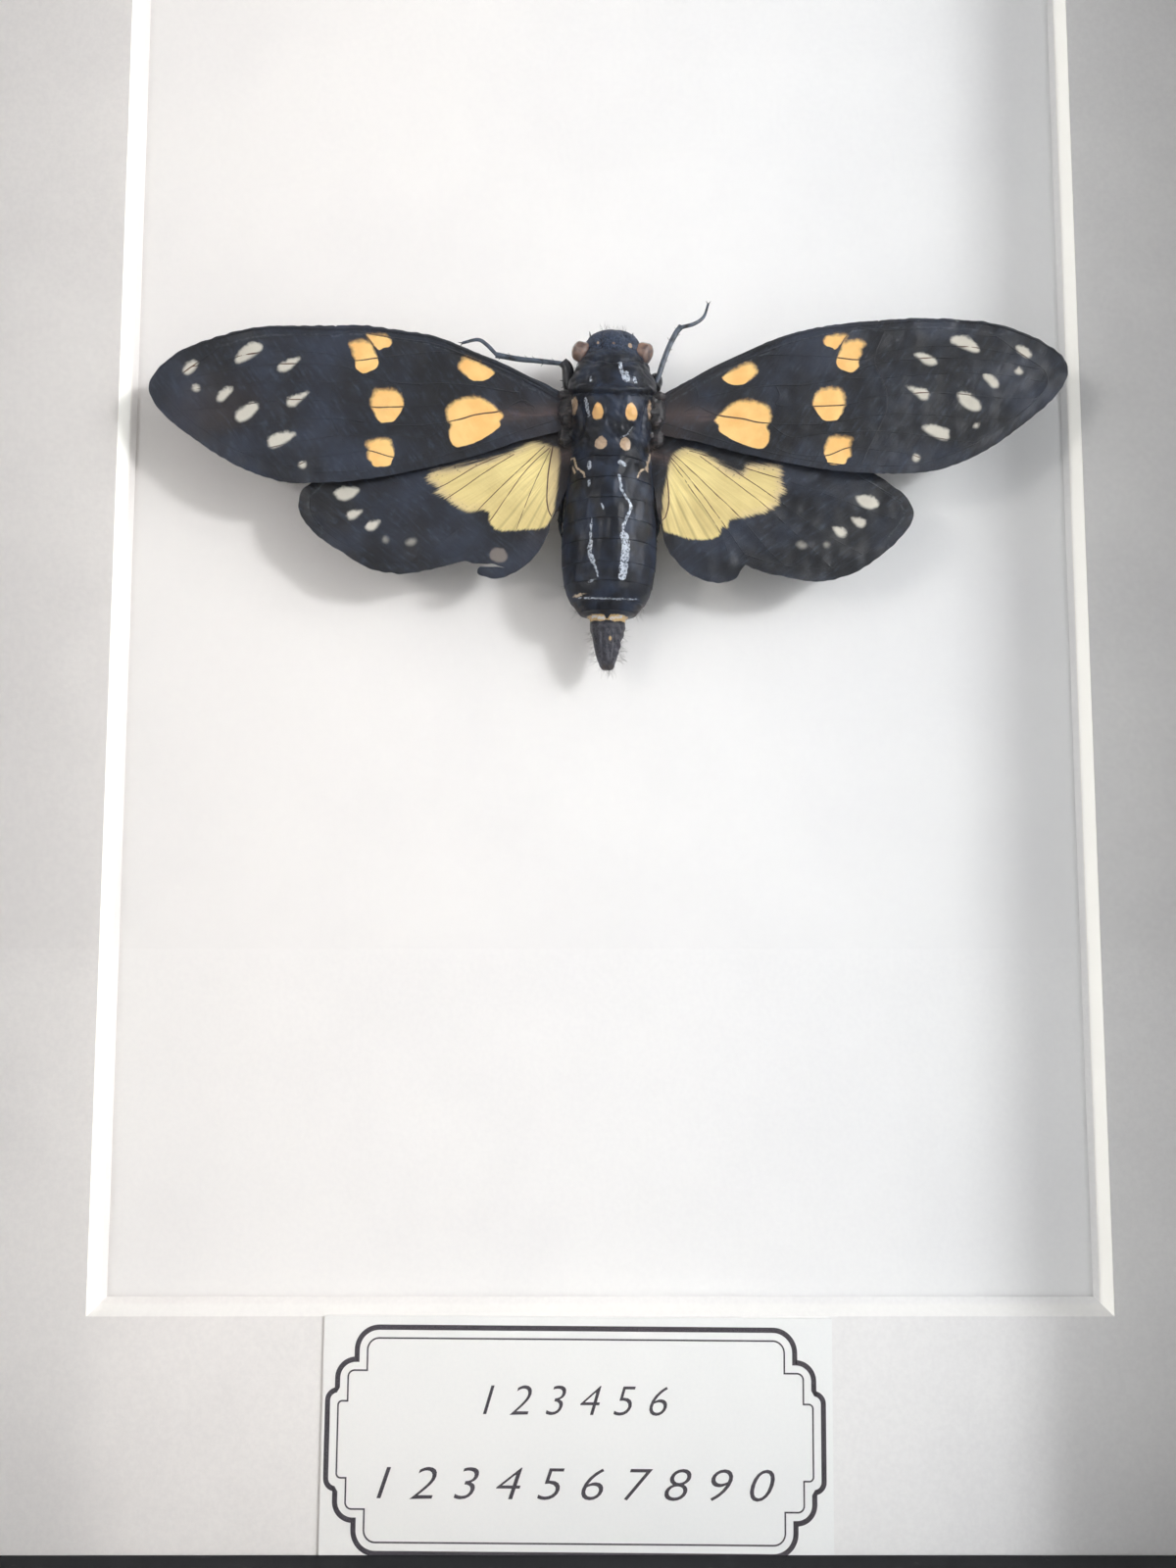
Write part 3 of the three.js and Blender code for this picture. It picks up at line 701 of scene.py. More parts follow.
@dataclass(frozen=True)
class Membrane(Finish):
    """A wing's skin: blue-black, with blue-grey clouds that are partly painted sheen, painted sheen streaks, a
    painted highlight line inside the front edge, and orange, cream and yellow areas and veins.
    """

    name: str = "wing_membrane"
    black: Colour = tone(15, 18, 24)
    # Blue-grey of the clouds: the membrane's own blue tone, partly painted sheen.
    blue: Colour = tone(36, 44, 60)
    brown: Colour = tone(48, 40, 39)
    root_brown: Colour = tone(96, 80, 78)
    orange: Colour = tone(246, 203, 130)
    orange_deep: Colour = tone(238, 186, 112)
    cream: Colour = tone(198, 194, 182)
    yellow: Colour = tone(238, 220, 152)
    yellow_deep: Colour = tone(208, 188, 128)
    beige: Colour = tone(196, 172, 140)
    olive: Colour = tone(146, 128, 84)
    window: Colour = tone(126, 118, 112)
    # Painted highlight: the grey of a grainy line just inside the front edge.
    line: Colour = tone(104, 110, 120)
    # Painted sheen: the blue-grey of fine diagonal streaks over the membrane.
    dust: Colour = tone(74, 84, 104)
    vein_brown: Colour = tone(92, 66, 50)
    vein_dark: Colour = tone(26, 28, 33)

    def paint(self, sheet: Sheet) -> None:
        """Adds the finish's nodes.

        Args:
            sheet: The empty node sheet.
        """
        place = sheet.vector("wing_place")
        soft = sheet.value("softness")
        ragged = (sheet.noise(2.2, place, 4, 0.6) - 0.5) * (0.14 + soft * 0.55)
        fine = sheet.noise(0.9, sheet.stretched(sheet.turned(place, 38), (3.4, 0.5, 1)), 4, 0.6)

        # Blue-black with blue-grey clouds, partly the membrane's own tone and partly painted sheen.
        clouds = sheet.noise(0.16, place, 5, 0.55).step(0.4, 0.72)
        warmth = sheet.noise(0.09, place, 3).step(0.42, 0.62) * sheet.value("warmth")
        base = sheet.mix(clouds, self.black, self.blue)
        base = sheet.mix(warmth * 0.85, base, self.brown)
        threads = sheet.noise(1.0, sheet.stretched(place, (0.3, 2.0, 1)), 4, 0.6).step(0.42, 0.7)
        base = sheet.mix((0.4 + threads * 0.6) * sheet.value("root") * 0.85, base, self.root_brown)
        mottle = sheet.noise(1.6, place, 5, 0.7)
        # Painted sheen: blue-grey fine diagonal streaks.
        base = sheet.mix(fine.step(0.45, 0.75) * mottle.step(0.35, 0.7) * 0.5, base, self.dust)

        edge = 0.035 + soft * 0.3
        orange = (sheet.value("orange") + ragged).step(-1 * edge, edge)
        cream = (sheet.value("cream") + ragged).step(-0.16, 0.26)
        fringe = sheet.noise(1.0, sheet.stretched(sheet.vector("fan_place"), (2.2, 1.6, 1.0)), 5, 0.75)
        fan_ragged = (fringe - 0.5) * (0.9 + soft * 0.9)
        fan_depth = sheet.value("fan") + fan_ragged
        fan = fan_depth.step(-0.1, 0.16 + soft * 0.4)
        rim = (1 - fan_depth.step(0.2, 1.1)) * soft
        flecks = 1 - sheet.specks(2.6, place).step(0.12, 0.3)
        window = (sheet.value("window") + ragged).step(-0.15, 0.15)
        haze = (sheet.value("haze") + ragged * 0.6).step(-0.25, 0.3)
        # Painted highlight: a grainy grey line just inside the front edge.
        line = 1 - (sheet.value("front_gap") - 0.95).size().step(0.04, 0.16)
        painted_highlight_grains = sheet.noise(3.5, place, 3).step(0.4, 0.6)

        ochre = sheet.noise(0.5, place, 3).step(0.3, 0.7)
        streaks = sheet.noise(1.0, sheet.vector("fan_place"), 3, 0.6)
        lobe = sheet.value("lobe")
        fan_colour = sheet.mix(streaks.step(0.35, 0.7) * 0.8, self.yellow, self.yellow_deep)
        _, reach, _ = sheet.axes(sheet.vector("fan_place"))
        fan_colour = sheet.mix(reach.step(0.85, 1.25) * 0.6, fan_colour, self.yellow_deep)
        turn = sheet.value("turn")
        pleat = sheet.math("PINGPONG", turn / 2.75, 1.0)
        fold = (1 - pleat.step(0.05, 0.4)) * reach.step(0.6, 1.1) * (-30 - turn).step(0, 12)
        fan_colour = sheet.mix(fold * 0.45, fan_colour, self.olive)
        fan_colour = sheet.mix((1 - reach.step(0.15, 0.5)) * 0.55, fan_colour, self.brown)
        fan_colour = sheet.mix(rim * 0.7, fan_colour, self.beige)
        fan_colour = sheet.mix(lobe * 0.4, fan_colour, self.beige)
        fan_colour = sheet.mix(rim * flecks * 0.8, fan_colour, self.brown)

        # Painted highlight line inside the front edge.
        base = sheet.mix(line * painted_highlight_grains * 0.22, base, self.line)
        base = sheet.mix(haze * 0.45, base, self.cream)
        base = sheet.mix(cream, base, self.cream)
        base = sheet.mix(window * 0.85, base, self.window)
        base = sheet.mix(orange, base, sheet.mix(ochre, self.orange, self.orange_deep))
        base = sheet.mix(fan, base, fan_colour)
        lit = orange.most(fan).most(cream)
        rib = sheet.value("rib")
        base = sheet.mix(rib * (0.25 + lit * 0.75), base, sheet.mix(lit, self.vein_dark, self.vein_brown))

        rough = 0.4 + clouds * 0.1 + lit * 0.2 + fine * 0.1
        wrinkles = fine * 0.8 + sheet.noise(1.5, place, 4) * 0.6 + streaks * fan * 0.5
        sheet.surface(Base_Color=base, Roughness=rough, Normal=sheet.bump(wrinkles, 0.05), IOR=1.5)


@dataclass(frozen=True)
class StudioFloor(Finish):
    """A plain pale floor."""

    name: str = "studio_floor"
    pale: Colour = tone(226, 226, 225)
    shade: Colour = tone(220, 220, 220)

    def paint(self, sheet: Sheet) -> None:
        """Adds the finish's nodes."""
        base = sheet.mix(sheet.noise(0.004, detail=3), self.pale, self.shade)
        sheet.surface(Base_Color=base, Roughness=0.6)


# Geometry


def curve_through(points: Sequence[Sequence[float]], steps: int, closed: bool = False) -> np.ndarray:
    """Draws a smooth line through points; a point given twice stays a corner.

    Args:
        points: The points to pass through.
        steps: How many steps each stretch is cut into.
        closed: Whether the line returns to its start.

    Returns:
        The line's points, one in each row.
    """
    given = np.array(points, float)
    count = len(given)
    if closed:
        padded = np.vstack([given[-1:], given, given[:2]])
    else:
        padded = np.vstack([2 * given[:1] - given[1:2], given, 2 * given[-1:] - given[-2:-1]])
    along = np.arange(steps)[:, None] / steps
    line = []
    for index in range(count if closed else count - 1):
        before, start, end, after = padded[index : index + 4]
        if np.allclose(start, end):
            continue
        line.append(
            0.5
            * (
                2 * start
                + (end - before) * along
                + (2 * before - 5 * start + 4 * end - after) * along**2
                + (3 * start - before - 3 * end + after) * along**3
            )
        )
    whole = np.vstack(line)
    return whole if closed else np.vstack([whole, given[-1:]])


def distance_to_line(places: np.ndarray, line: np.ndarray) -> np.ndarray:
    """Measures how far each place is from a line of straight stretches.

    Args:
        places: Places, two numbers in each row.
        line: The line's points.

    Returns:
        One distance for each place.
    """
    nearest = np.full(len(places), np.inf)
    for start, end in zip(line[:-1], line[1:]):
        stretch = end - start
        share = np.clip((places - start) @ stretch / max(stretch @ stretch, 1e-12), 0, 1)
        gap = places - start - share[:, None] * stretch
        nearest = np.minimum(nearest, np.hypot(gap[:, 0], gap[:, 1]))
    return nearest


def depth_inside(places: np.ndarray, outline: np.ndarray) -> np.ndarray:
    """Measures how deep each place is inside an outline, and below zero outside it.

    Args:
        places: Places, two numbers in each row.
        outline: The closed outline's points.

    Returns:
        One depth for each place.
    """
    ring = np.vstack([outline, outline[:1]])
    inside = np.zeros(len(places), bool)
    for (x0, y0), (x1, y1) in zip(ring[:-1], ring[1:]):
        crosses = (places[:, 1] < y0) != (places[:, 1] < y1)
        rise = y1 - y0 if y1 != y0 else 1e-12
        inside ^= crosses & (places[:, 0] < x0 + (places[:, 1] - y0) * (x1 - x0) / rise)
    return np.where(inside, 1, -1) * distance_to_line(places, ring)


def relief(first: np.ndarray, second: np.ndarray, wavelength: float, seed: int) -> np.ndarray:
    """Makes a smooth random relief, mostly between -1 and 1, as a sum of waves.

    Args:
        first: One coordinate of each place.
        second: The other coordinate.
        wavelength: The usual distance between its hills.
        seed: Which relief it is.

    Returns:
        One height for each place.
    """
    waves = 9
    chance = np.random.default_rng(seed)
    total = np.zeros_like(first)
    for _ in range(waves):
        turn, phase = chance.uniform(0, 2 * math.pi, 2)
        rate = 2 * math.pi / (wavelength * chance.uniform(0.7, 1.4))
        total += np.cos(rate * (first * math.cos(turn) + second * math.sin(turn)) + phase)
    return total / math.sqrt(waves)


class Shape:
    """The points, faces and point values of one mesh, gathered part by part."""

    def __init__(self) -> None:
        """Starts with nothing."""
        self.points: list[np.ndarray] = []
        self.faces: list[tuple[int, ...]] = []
        self.values: list[dict[str, Any]] = []
        self.count = 0

    def add(self, points: np.ndarray, faces: Sequence[Sequence[int]], **values: Any) -> None:
        """Adds one part.

        Args:
            points: The part's points in millimetres.
            faces: Its faces, numbered from its own first point.
            **values: Numbers or vectors at its points, or one number for all.
        """
        start = self.count
        self.points.append(points)
        self.faces.extend(tuple(start + index for index in face) for face in faces)
        self.values.append(values)
        self.count += len(points)

    def build(self, name: str, finish: bpy.types.Material, crease_deg: float = 50.0) -> bpy.types.Object:
        """Makes the mesh object.

        Args:
            name: The object's name.
            finish: Its material.
            crease_deg: Edges sharper than this stay sharp.

        Returns:
            The object, linked to the scene.
        """
        mesh = bpy.data.meshes.new(name)
        mesh.from_pydata((np.vstack(self.points) * MM).tolist(), [], self.faces)
        mesh.polygons.foreach_set("use_smooth", np.ones(len(mesh.polygons), bool))
        for key in sorted({key for values in self.values for key in values}):
            self.write_value(mesh, key)
        mesh.update()
        mesh.set_sharp_from_angle(angle=math.radians(crease_deg))
        mesh.materials.append(finish)
        made = bpy.data.objects.new(name, mesh)
        bpy.context.scene.collection.objects.link(made)
        return made

    def write_value(self, mesh: bpy.types.Mesh, key: str) -> None:
        """Writes one kind of point value to the mesh.

        Args:
            mesh: The mesh that takes it.
            key: The value's name.
        """
        wide = any(np.ndim(values.get(key, 0)) == 2 for values in self.values)
        columns = []
        for points, values in zip(self.points, self.values):
            shape = (len(points), 3) if wide else (len(points),)
            columns.append(np.broadcast_to(values.get(key, 0.0), shape))
        kind = "FLOAT_VECTOR" if wide else "FLOAT"
        attribute = mesh.attributes.new(key, kind, "POINT")
        flat = np.concatenate(columns).astype(np.float32).ravel()
        attribute.data.foreach_set("vector" if wide else "value", flat)


def tube_faces(rows: int, columns: int, flip: bool = False) -> list[tuple[int, ...]]:
    """Gives the faces of stacked rings that two end points close.

    Args:
        rows: How many rings there are.
        columns: How many points each ring has.
        flip: Whether the faces look the other way.

    Returns:
        The faces. The two end points are numbered after the rings.
    """
    faces: list[tuple[int, ...]] = []
    for row in range(rows - 1):
        for column in range(columns):
            near, far = row * columns + column, row * columns + (column + 1) % columns
            faces.append((near, near + columns, far + columns, far))
    first_end, last_row = rows * columns, (rows - 1) * columns
    for column in range(columns):
        after = (column + 1) % columns
        faces.append((first_end, column, after))
        faces.append((first_end + 1, last_row + after, last_row + column))
    return [(face[0], *face[:0:-1]) for face in faces] if flip else faces


def swept(line: np.ndarray, radii: np.ndarray, sides: int) -> tuple[np.ndarray, list[tuple[int, ...]]]:
    """Sweeps a round section along a line, with closed ends.

    Args:
        line: The middle line's points.
        radii: The radius at each point.
        sides: How many sides the section has.

    Returns:
        The points and the faces.
    """
    tangents = np.gradient(line, axis=0)
    tangents /= np.linalg.norm(tangents, axis=1)[:, None]
    first = np.cross(tangents[0], [0.3, 1.0, 0.2])
    rings = []
    turns = np.arange(sides) / sides * 2 * math.pi
    for middle, tangent, radius in zip(line, tangents, radii):
        first = first - tangent * (first @ tangent)
        first /= np.linalg.norm(first)
        second = np.cross(tangent, first)
        rings.append(middle + radius * (np.outer(np.cos(turns), first) + np.outer(np.sin(turns), second)))
    return np.vstack([*rings, line[:1], line[-1:]]), tube_faces(len(line), sides, flip=True)


def egg(
    centre: Triple, radii: Triple, rows: int = 24, columns: int = 40, warp: Callable | None = None
) -> tuple[np.ndarray, list[tuple[int, ...]]]:
    """Makes a closed rounded lump.

    Args:
        centre: Its middle.
        radii: Its three radii.
        rows: Rows of faces from end to end.
        columns: Faces around.
        warp: Moves its points on the unit ball, if given.

    Returns:
        The points and the faces.
    """
    tilt = np.linspace(0, math.pi, rows + 1)[1:-1]
    turn = np.arange(columns) / columns * 2 * math.pi
    ball = np.array(
        [(math.sin(t) * math.cos(a), math.sin(t) * math.sin(a), math.cos(t)) for t in tilt for a in turn]
    )
    ball = np.vstack([ball, [0, 0, 1], [0, 0, -1]])
    if warp:
        ball = warp(ball)
    return ball * np.array(radii) + np.array(centre), tube_faces(len(tilt), columns)


# The insect


@dataclass(frozen=True)
class Setting:
    """Where the insect is set in the box. Heights are from the mount board."""

    middle_x: float = 1.2
    tail_z: float = 98.2
    wing_station: float = 26.6
    lean_deg: float = 1.1
    board_y: float = field(default_factory=lambda: float(corner("mount_board")[0][1]))

    def place(self, local: np.ndarray, leaning: bool = True) -> np.ndarray:
        """Takes points across, in height and by station from the tail into the box.

        Args:
            local: Points of the insect, three numbers in each row.
            leaning: Whether they lean with the body.

        Returns:
            The same points in the object's frame.
        """
        across, height, station = local.T
        along = station - self.wing_station
        angle = math.radians(self.lean_deg) if leaning else 0.0
        x = across * math.cos(angle) + along * math.sin(angle)
        z = along * math.cos(angle) - across * math.sin(angle)
        base_z = self.tail_z + self.wing_station
        return np.column_stack([self.middle_x + x, self.board_y - height, base_z + z])


@dataclass(frozen=True)
class Spot:
    """An oval mark on the back: its middle, half sizes, and how it narrows to the head."""

    across: float
    station: float
    half_width: float
    half_length: float
    taper: float = 0.0

    def depth(self, across: np.ndarray, station: np.ndarray) -> np.ndarray:
        """Measures about how deep each place is inside the mark.

        Args:
            across: How far each place is across the body.
            station: Its station from the tail.

        Returns:
            One depth for each place, in millimetres.
        """
        ahead = (station - self.station) / self.half_length
        width = self.half_width * (1 - self.taper * np.clip(ahead, -1, 1))
        away = np.hypot((across - self.across) / width, ahead)
        return (1 - away) * min(self.half_width, self.half_length)


@dataclass
class Body:
    """The head, thorax, abdomen and tail, as one skin."""

    setting: Setting
    length: float = 34.2
    sides: int = 180
    ring_gap: float = 0.11
    smoothed_rings: int = 5
    collar_station: float = 25.75
    neck_station: float = 29.45
    ring_stations: Pair = (4.52, 5.16)
    pale_line_half_width: float = 0.08
    powers: Sequence[Pair] = ((0.0, 2.2), (5.3, 2.2), (6.5, 1.85), (19.5, 1.85), (21.5, 2.1), (34.2, 2.2))
    lap: float = 0.1
    sections: Sequence[tuple[float, float, float, float]] = (
        (0.0, 0.50, 3.4, 2.8), (0.3, 0.72, 3.6, 2.6), (0.8, 0.95, 3.9, 2.4), (2.2, 1.27, 4.3, 2.2),
        (3.4, 1.60, 4.6, 2.0), (4.2, 1.78, 4.9, 1.8), (4.5, 1.74, 4.9, 1.8), (5.2, 1.80, 5.2, 1.7),
        (5.4, 2.75, 5.9, 1.2), (6.4, 3.65, 6.7, 0.8), (7.2, 4.12, 7.2, 0.6), (8.0, 4.38, 7.5, 0.5),
        (9.8, 4.66, 7.9, 0.5), (11.9, 4.76, 8.3, 0.4), (13.9, 4.68, 8.5, 0.3), (15.9, 4.54, 8.6, 0.3),
        (17.9, 4.40, 8.7, 0.3), (20.0, 4.22, 8.5, 0.3), (21.2, 3.98, 8.3, 0.3), (22.0, 4.00, 8.7, 0.3),
        (23.5, 4.10, 9.2, 0.4), (25.0, 4.15, 9.5, 0.5), (26.5, 4.30, 9.4, 0.6), (27.9, 4.46, 9.1, 0.8),
        (28.6, 4.30, 8.8, 0.9), (29.5, 3.95, 8.3, 1.0), (30.6, 3.60, 7.8, 1.2), (31.0, 3.35, 7.4, 1.3),
        (31.4, 3.05, 7.3, 1.3), (32.2, 2.95, 7.1, 1.4), (33.1, 2.76, 6.5, 1.9), (33.8, 2.20, 5.8, 2.8),
        (34.1, 1.35, 5.3, 3.6), (34.2, 0.30, 4.8, 4.2),
    )
    plate_edges: Sequence[float] = (5.45, 6.4, 8.0, 9.8, 11.9, 13.9, 15.9, 17.9, 20.0)
    orange_spots: Sequence[Spot] = (
        Spot(-1.37, 24.1, 0.5, 0.78, 0.3),
        Spot(1.86, 24.15, 0.56, 0.84, 0.2),
    )
    tan_spots: Sequence[Spot] = (
        Spot(-1.03, 21.21, 0.57, 0.6),
        Spot(1.35, 21.18, 0.52, 0.62),
        Spot(-1.5, 32.0, 0.12, 0.2),
        Spot(1.72, 31.8, 0.19, 0.3),
        Spot(-3.62, 25.3, 0.26, 0.8),
        Spot(3.66, 25.1, 0.2, 0.75),
        Spot(0.27, 2.93, 0.11, 0.22),
    )
    pale_spots: Sequence[Spot] = (
        Spot(-4.02, 25.9, 0.28, 0.2),
        Spot(-2.9, 6.85, 0.5, 0.12),
    )
    # Shiny rows and places: half width and line; they get a coat, less roughness and a painted highlight
    # colour.
    gloss_and_painted_highlight_lines: Sequence[tuple[float, Sequence[Pair]]] = (
        (0.13, ((-1.77, 13.8), (-1.86, 12.2), (-1.8, 11.6))),
        (0.26, ((-1.8, 11.6), (-1.95, 10.7), (-1.6, 9.8))),
        (0.12, ((-1.6, 9.8), (-1.3, 9.1), (-1.05, 8.3))),
        (0.16, ((0.8, 18.0), (0.95, 17.2), (1.13, 16.4), (2.0, 15.2), (1.65, 14.1), (1.3, 13.1),
                (1.35, 12.3))),
        (0.42, ((1.4, 12.2), (1.6, 11.0), (1.4, 9.2), (1.3, 8.4))),
        (0.2, ((-2.1, 19.4), (-2.1, 18.9))),
        (0.26, ((0.9, 19.3), (1.3, 19.2))),
        (0.14, ((-2.1, 17.6), (-2.1, 17.1))),
        (0.12, ((-0.85, 15.2), (-0.7, 14.7))),
        (0.14, ((-1.9, 7.95), (-1.3, 8.1))),
        (0.15, ((-2.6, 25.5), (-2.2, 23.8))),
        (0.22, ((0.7, 29.2), (0.8, 28.4), (1.2, 27.2))),
        (0.2, ((1.3, 28.2), (1.5, 27.3))),
        (0.18, ((2.1, 27.7), (2.2, 27.2))),
        (0.14, ((-2.15, 27.6), (-2.1, 27.2))),
        (0.12, ((-3.6, 30.2), (-3.4, 29.7))),
        (0.08, ((2.0, 22.9), (1.5, 22.1), (0.7, 21.7))),
        (0.07, ((-2.9, 6.62), (-1.4, 6.42), (0.2, 6.38), (1.6, 6.42), (3.0, 6.62))),
        (0.16, ((-1.5, 5.0), (-0.4, 4.8))),
        (0.16, ((0.3, 4.8), (1.3, 5.0))),
    )
    pale_lines: Sequence[Sequence[Pair]] = (
        ((-4.2, 21.3), (-3.95, 20.6), (-3.6, 20.4), (-3.35, 19.3), (-2.75, 18.6), (-2.5, 18.0)),
        ((-3.75, 19.6), (-3.5, 18.8)),
        ((3.9, 21.2), (3.7, 20.3), (3.45, 19.4), (2.95, 18.9), (2.6, 18.1)),
        ((3.55, 20.1), (3.6, 19.2)),
    )
    bumps: Sequence[tuple[float, float, float, float]] = (
        (0.83, 29.15, 0.42, 0.16), (1.03, 27.38, 0.5, 0.2), (-2.2, 27.4, 0.4, 0.12),
        (-2.76, 26.81, 0.3, 0.1), (2.3, 28.6, 0.5, 0.14), (-1.0, 28.7, 0.5, 0.1),
        (-1.6, 20.2, 0.55, 0.2), (0.95, 20.1, 0.6, 0.22), (-1.03, 21.21, 0.45, 0.16),
        (1.35, 21.18, 0.42, 0.16), (-1.37, 24.1, 0.6, 0.16), (1.86, 24.1, 0.65, 0.2),
        (0.0, 33.3, 1.0, 0.15),
    )
    grooves: Sequence[tuple[float, float, Sequence[Pair]]] = (
        (0.2, 0.1, ((0.0, 29.3), (0.0, 27.0))),
        (0.26, 0.1, ((-0.9, 28.9), (-1.7, 28.2), (-2.8, 28.0))),
        (0.26, 0.13, ((0.7, 29.0), (1.6, 28.1), (2.9, 27.9))),
        (0.24, 0.08, ((-1.0, 27.2), (-1.9, 26.9), (-3.2, 27.2))),
        (0.24, 0.1, ((0.9, 27.3), (1.9, 26.8), (3.2, 27.1))),
        (0.13, 0.12, ((-0.9, 25.5), (-0.55, 24.4), (-0.35, 22.8))),
        (0.13, 0.12, ((1.0, 25.5), (0.75, 24.4), (0.5, 22.8))),
        (0.16, 0.14, ((2.07, 22.91), (1.3, 22.2), (0.67, 21.75))),
        (0.2, 0.06, ((0.5, 21.75), (-0.3, 21.8), (-1.1, 22.2))),
        (0.2, 0.2, ((-3.4, 25.6), (-2.9, 24.0), (-3.0, 22.4))),
        (0.2, 0.2, ((3.4, 25.6), (3.1, 24.0), (3.1, 22.4))),
        (0.2, 0.18, ((-1.1, 33.4), (-1.3, 32.4), (-1.15, 31.4))),
        (0.2, 0.18, ((1.1, 33.4), (1.25, 32.4), (1.15, 31.4))),
        (0.14, 0.1, ((-0.5, 3.9), (-0.6, 2.4), (-0.4, 0.9))),
        (0.14, 0.1, ((0.6, 3.9), (0.7, 2.4), (0.5, 0.9))),
    )

    def stations(self) -> np.ndarray:
        """Spaces the rings, with a close pair at each plate's rear edge.

        Returns:
            The rings' stations.
        """
        even = np.arange(0, self.length, self.ring_gap)
        pairs = [edge + shift for edge in self.plate_edges for shift in (-0.02, 0.0)]
        return np.unique(np.round([*even, *pairs, self.length], 4))

    def profile(self, stations: np.ndarray) -> tuple[np.ndarray, np.ndarray, np.ndarray]:
        """Reads the table of sections, smoothed between its rows.

        Args:
            stations: The rings' stations.

        Returns:
            The half widths, and the heights of back and belly.
        """
        table = np.array(self.sections)
        window = self.smoothed_rings
        columns = []
        for column in (1, 2, 3):
            straight = np.interp(stations, table[:, 0], table[:, column])
            padded = np.pad(straight, window // 2, mode="edge")
            smooth = np.convolve(padded, np.ones(window) / window, mode="valid")
            near_end = (stations < 0.6) | (stations > 33.9)
            columns.append(np.where(near_end, straight, smooth))
        return tuple(columns)

    def plate_lap(self, stations: np.ndarray) -> np.ndarray:
        """Sinks each ring under the rear edge of the plate ahead of it.

        Args:
            stations: The rings' stations.

        Returns:
            How far each ring is lifted, zero or less.
        """
        edges = np.array(self.plate_edges)
        index = np.clip(np.searchsorted(edges, stations, side="right"), 1, len(edges) - 1)
        share = np.clip((stations - edges[index - 1]) / (edges[index] - edges[index - 1]), 0, 1)
        sunk = self.lap * share**2.2
        return np.where((stations >= edges[0]) & (stations < edges[-1]), -sunk, 0.0)

    def lift(self, across: np.ndarray, station: np.ndarray, upward: np.ndarray) -> np.ndarray:
        """Gives how far the skin stands out at each place.

        Args:
            across: How far each place is across the body.
            station: Its station from the tail.
            upward: How far it faces up, from -1 to 1.

        Returns:
            The height over the plain section.
        """
        places = np.column_stack([across, station])
        top = np.clip(upward * 3, 0, 1)
        lift = np.zeros_like(across)
        for width, depth, line in self.grooves:
            gap = distance_to_line(places, curve_through(line, 6))
            lift -= depth * top * np.exp(-((gap / width) ** 2))
        for x, s, radius, height in self.bumps:
            lift += height * top * np.exp(-(((across - x) ** 2 + (station - s) ** 2) / radius**2))
        collar = self.collar_station + 0.06 * across**2
        lift += 0.2 * top * np.exp(-(((station - collar - 0.45) / 0.4) ** 2)) * (station > collar)
        lift -= 0.16 * top * np.exp(-(((station - collar) / 0.14) ** 2))
        neck = self.neck_station + 0.1 * across**2
        lift -= 0.22 * top * np.exp(-(((station - neck) / 0.2) ** 2))
        thorax = np.clip((station - 20.5) / 0.6, 0, 1)
        abdomen = np.clip((20.6 - station) / 0.4, 0, 1) * np.clip((station - 5.4) / 0.3, 0, 1)
        tail = np.clip((4.4 - station) / 0.3, 0, 1)
        lift += thorax * (0.06 * relief(across, station, 1.5, 3) + 0.03 * relief(across, station, 0.6, 7))
        dents = 0.055 * relief(across * 1.2, station * 0.6, 1.5, 4)
        dents += 0.012 * relief(across, station * 0.6, 0.7, 5)
        lift += abdomen * np.clip(upward * 1.6, 0.1, 1) * dents
        lift += tail * 0.05 * relief(across * 1.6, station, 0.8, 6)
        return lift

    def skin(self) -> tuple[np.ndarray, list[tuple[int, ...]], dict[str, np.ndarray]]:
        """Makes the skin.

        Returns:
            Its points, its faces and its mark depths by name.
        """
        stations = self.stations()
        widths, backs, bellies = self.profile(stations)
        lap = self.plate_lap(stations)
        turns = np.arange(self.sides) / self.sides * 2 * math.pi
        cos, sin = np.cos(turns), np.sin(turns)
        table = np.array(self.powers)
        bend = (2 / np.interp(stations, table[:, 0], table[:, 1]))[:, None]
        round_cos = np.sign(cos) * np.abs(cos) ** bend
        round_sin = np.sign(sin) * np.abs(sin) ** bend
        across = (widths + lap * 0.6)[:, None] * round_cos
        middle = ((backs + bellies) / 2)[:, None]
        half = ((backs - bellies) / 2 + lap)[:, None]
        rise = half * round_sin
        station = np.repeat(stations[:, None], self.sides, axis=1)
        flat = [grid.ravel() for grid in (across, rise, station)]
        upward = np.tile(sin, len(stations))
        out = self.lift(flat[0], flat[2], upward)
        reach = np.maximum(np.hypot(flat[0], flat[1]), 0.15)
        flat[0] = flat[0] * (1 + out / reach)
        height = np.repeat(middle.ravel(), self.sides) + flat[1] * (1 + out / reach)
        local = np.column_stack([flat[0], height, flat[2]])
        ends = [local[: self.sides].mean(axis=0), local[-self.sides :].mean(axis=0)]
        local = np.vstack([local, ends])
        faces = tube_faces(len(stations), self.sides)
        return self.setting.place(local), faces, self.marks(local, np.append(upward, [0, 0]))

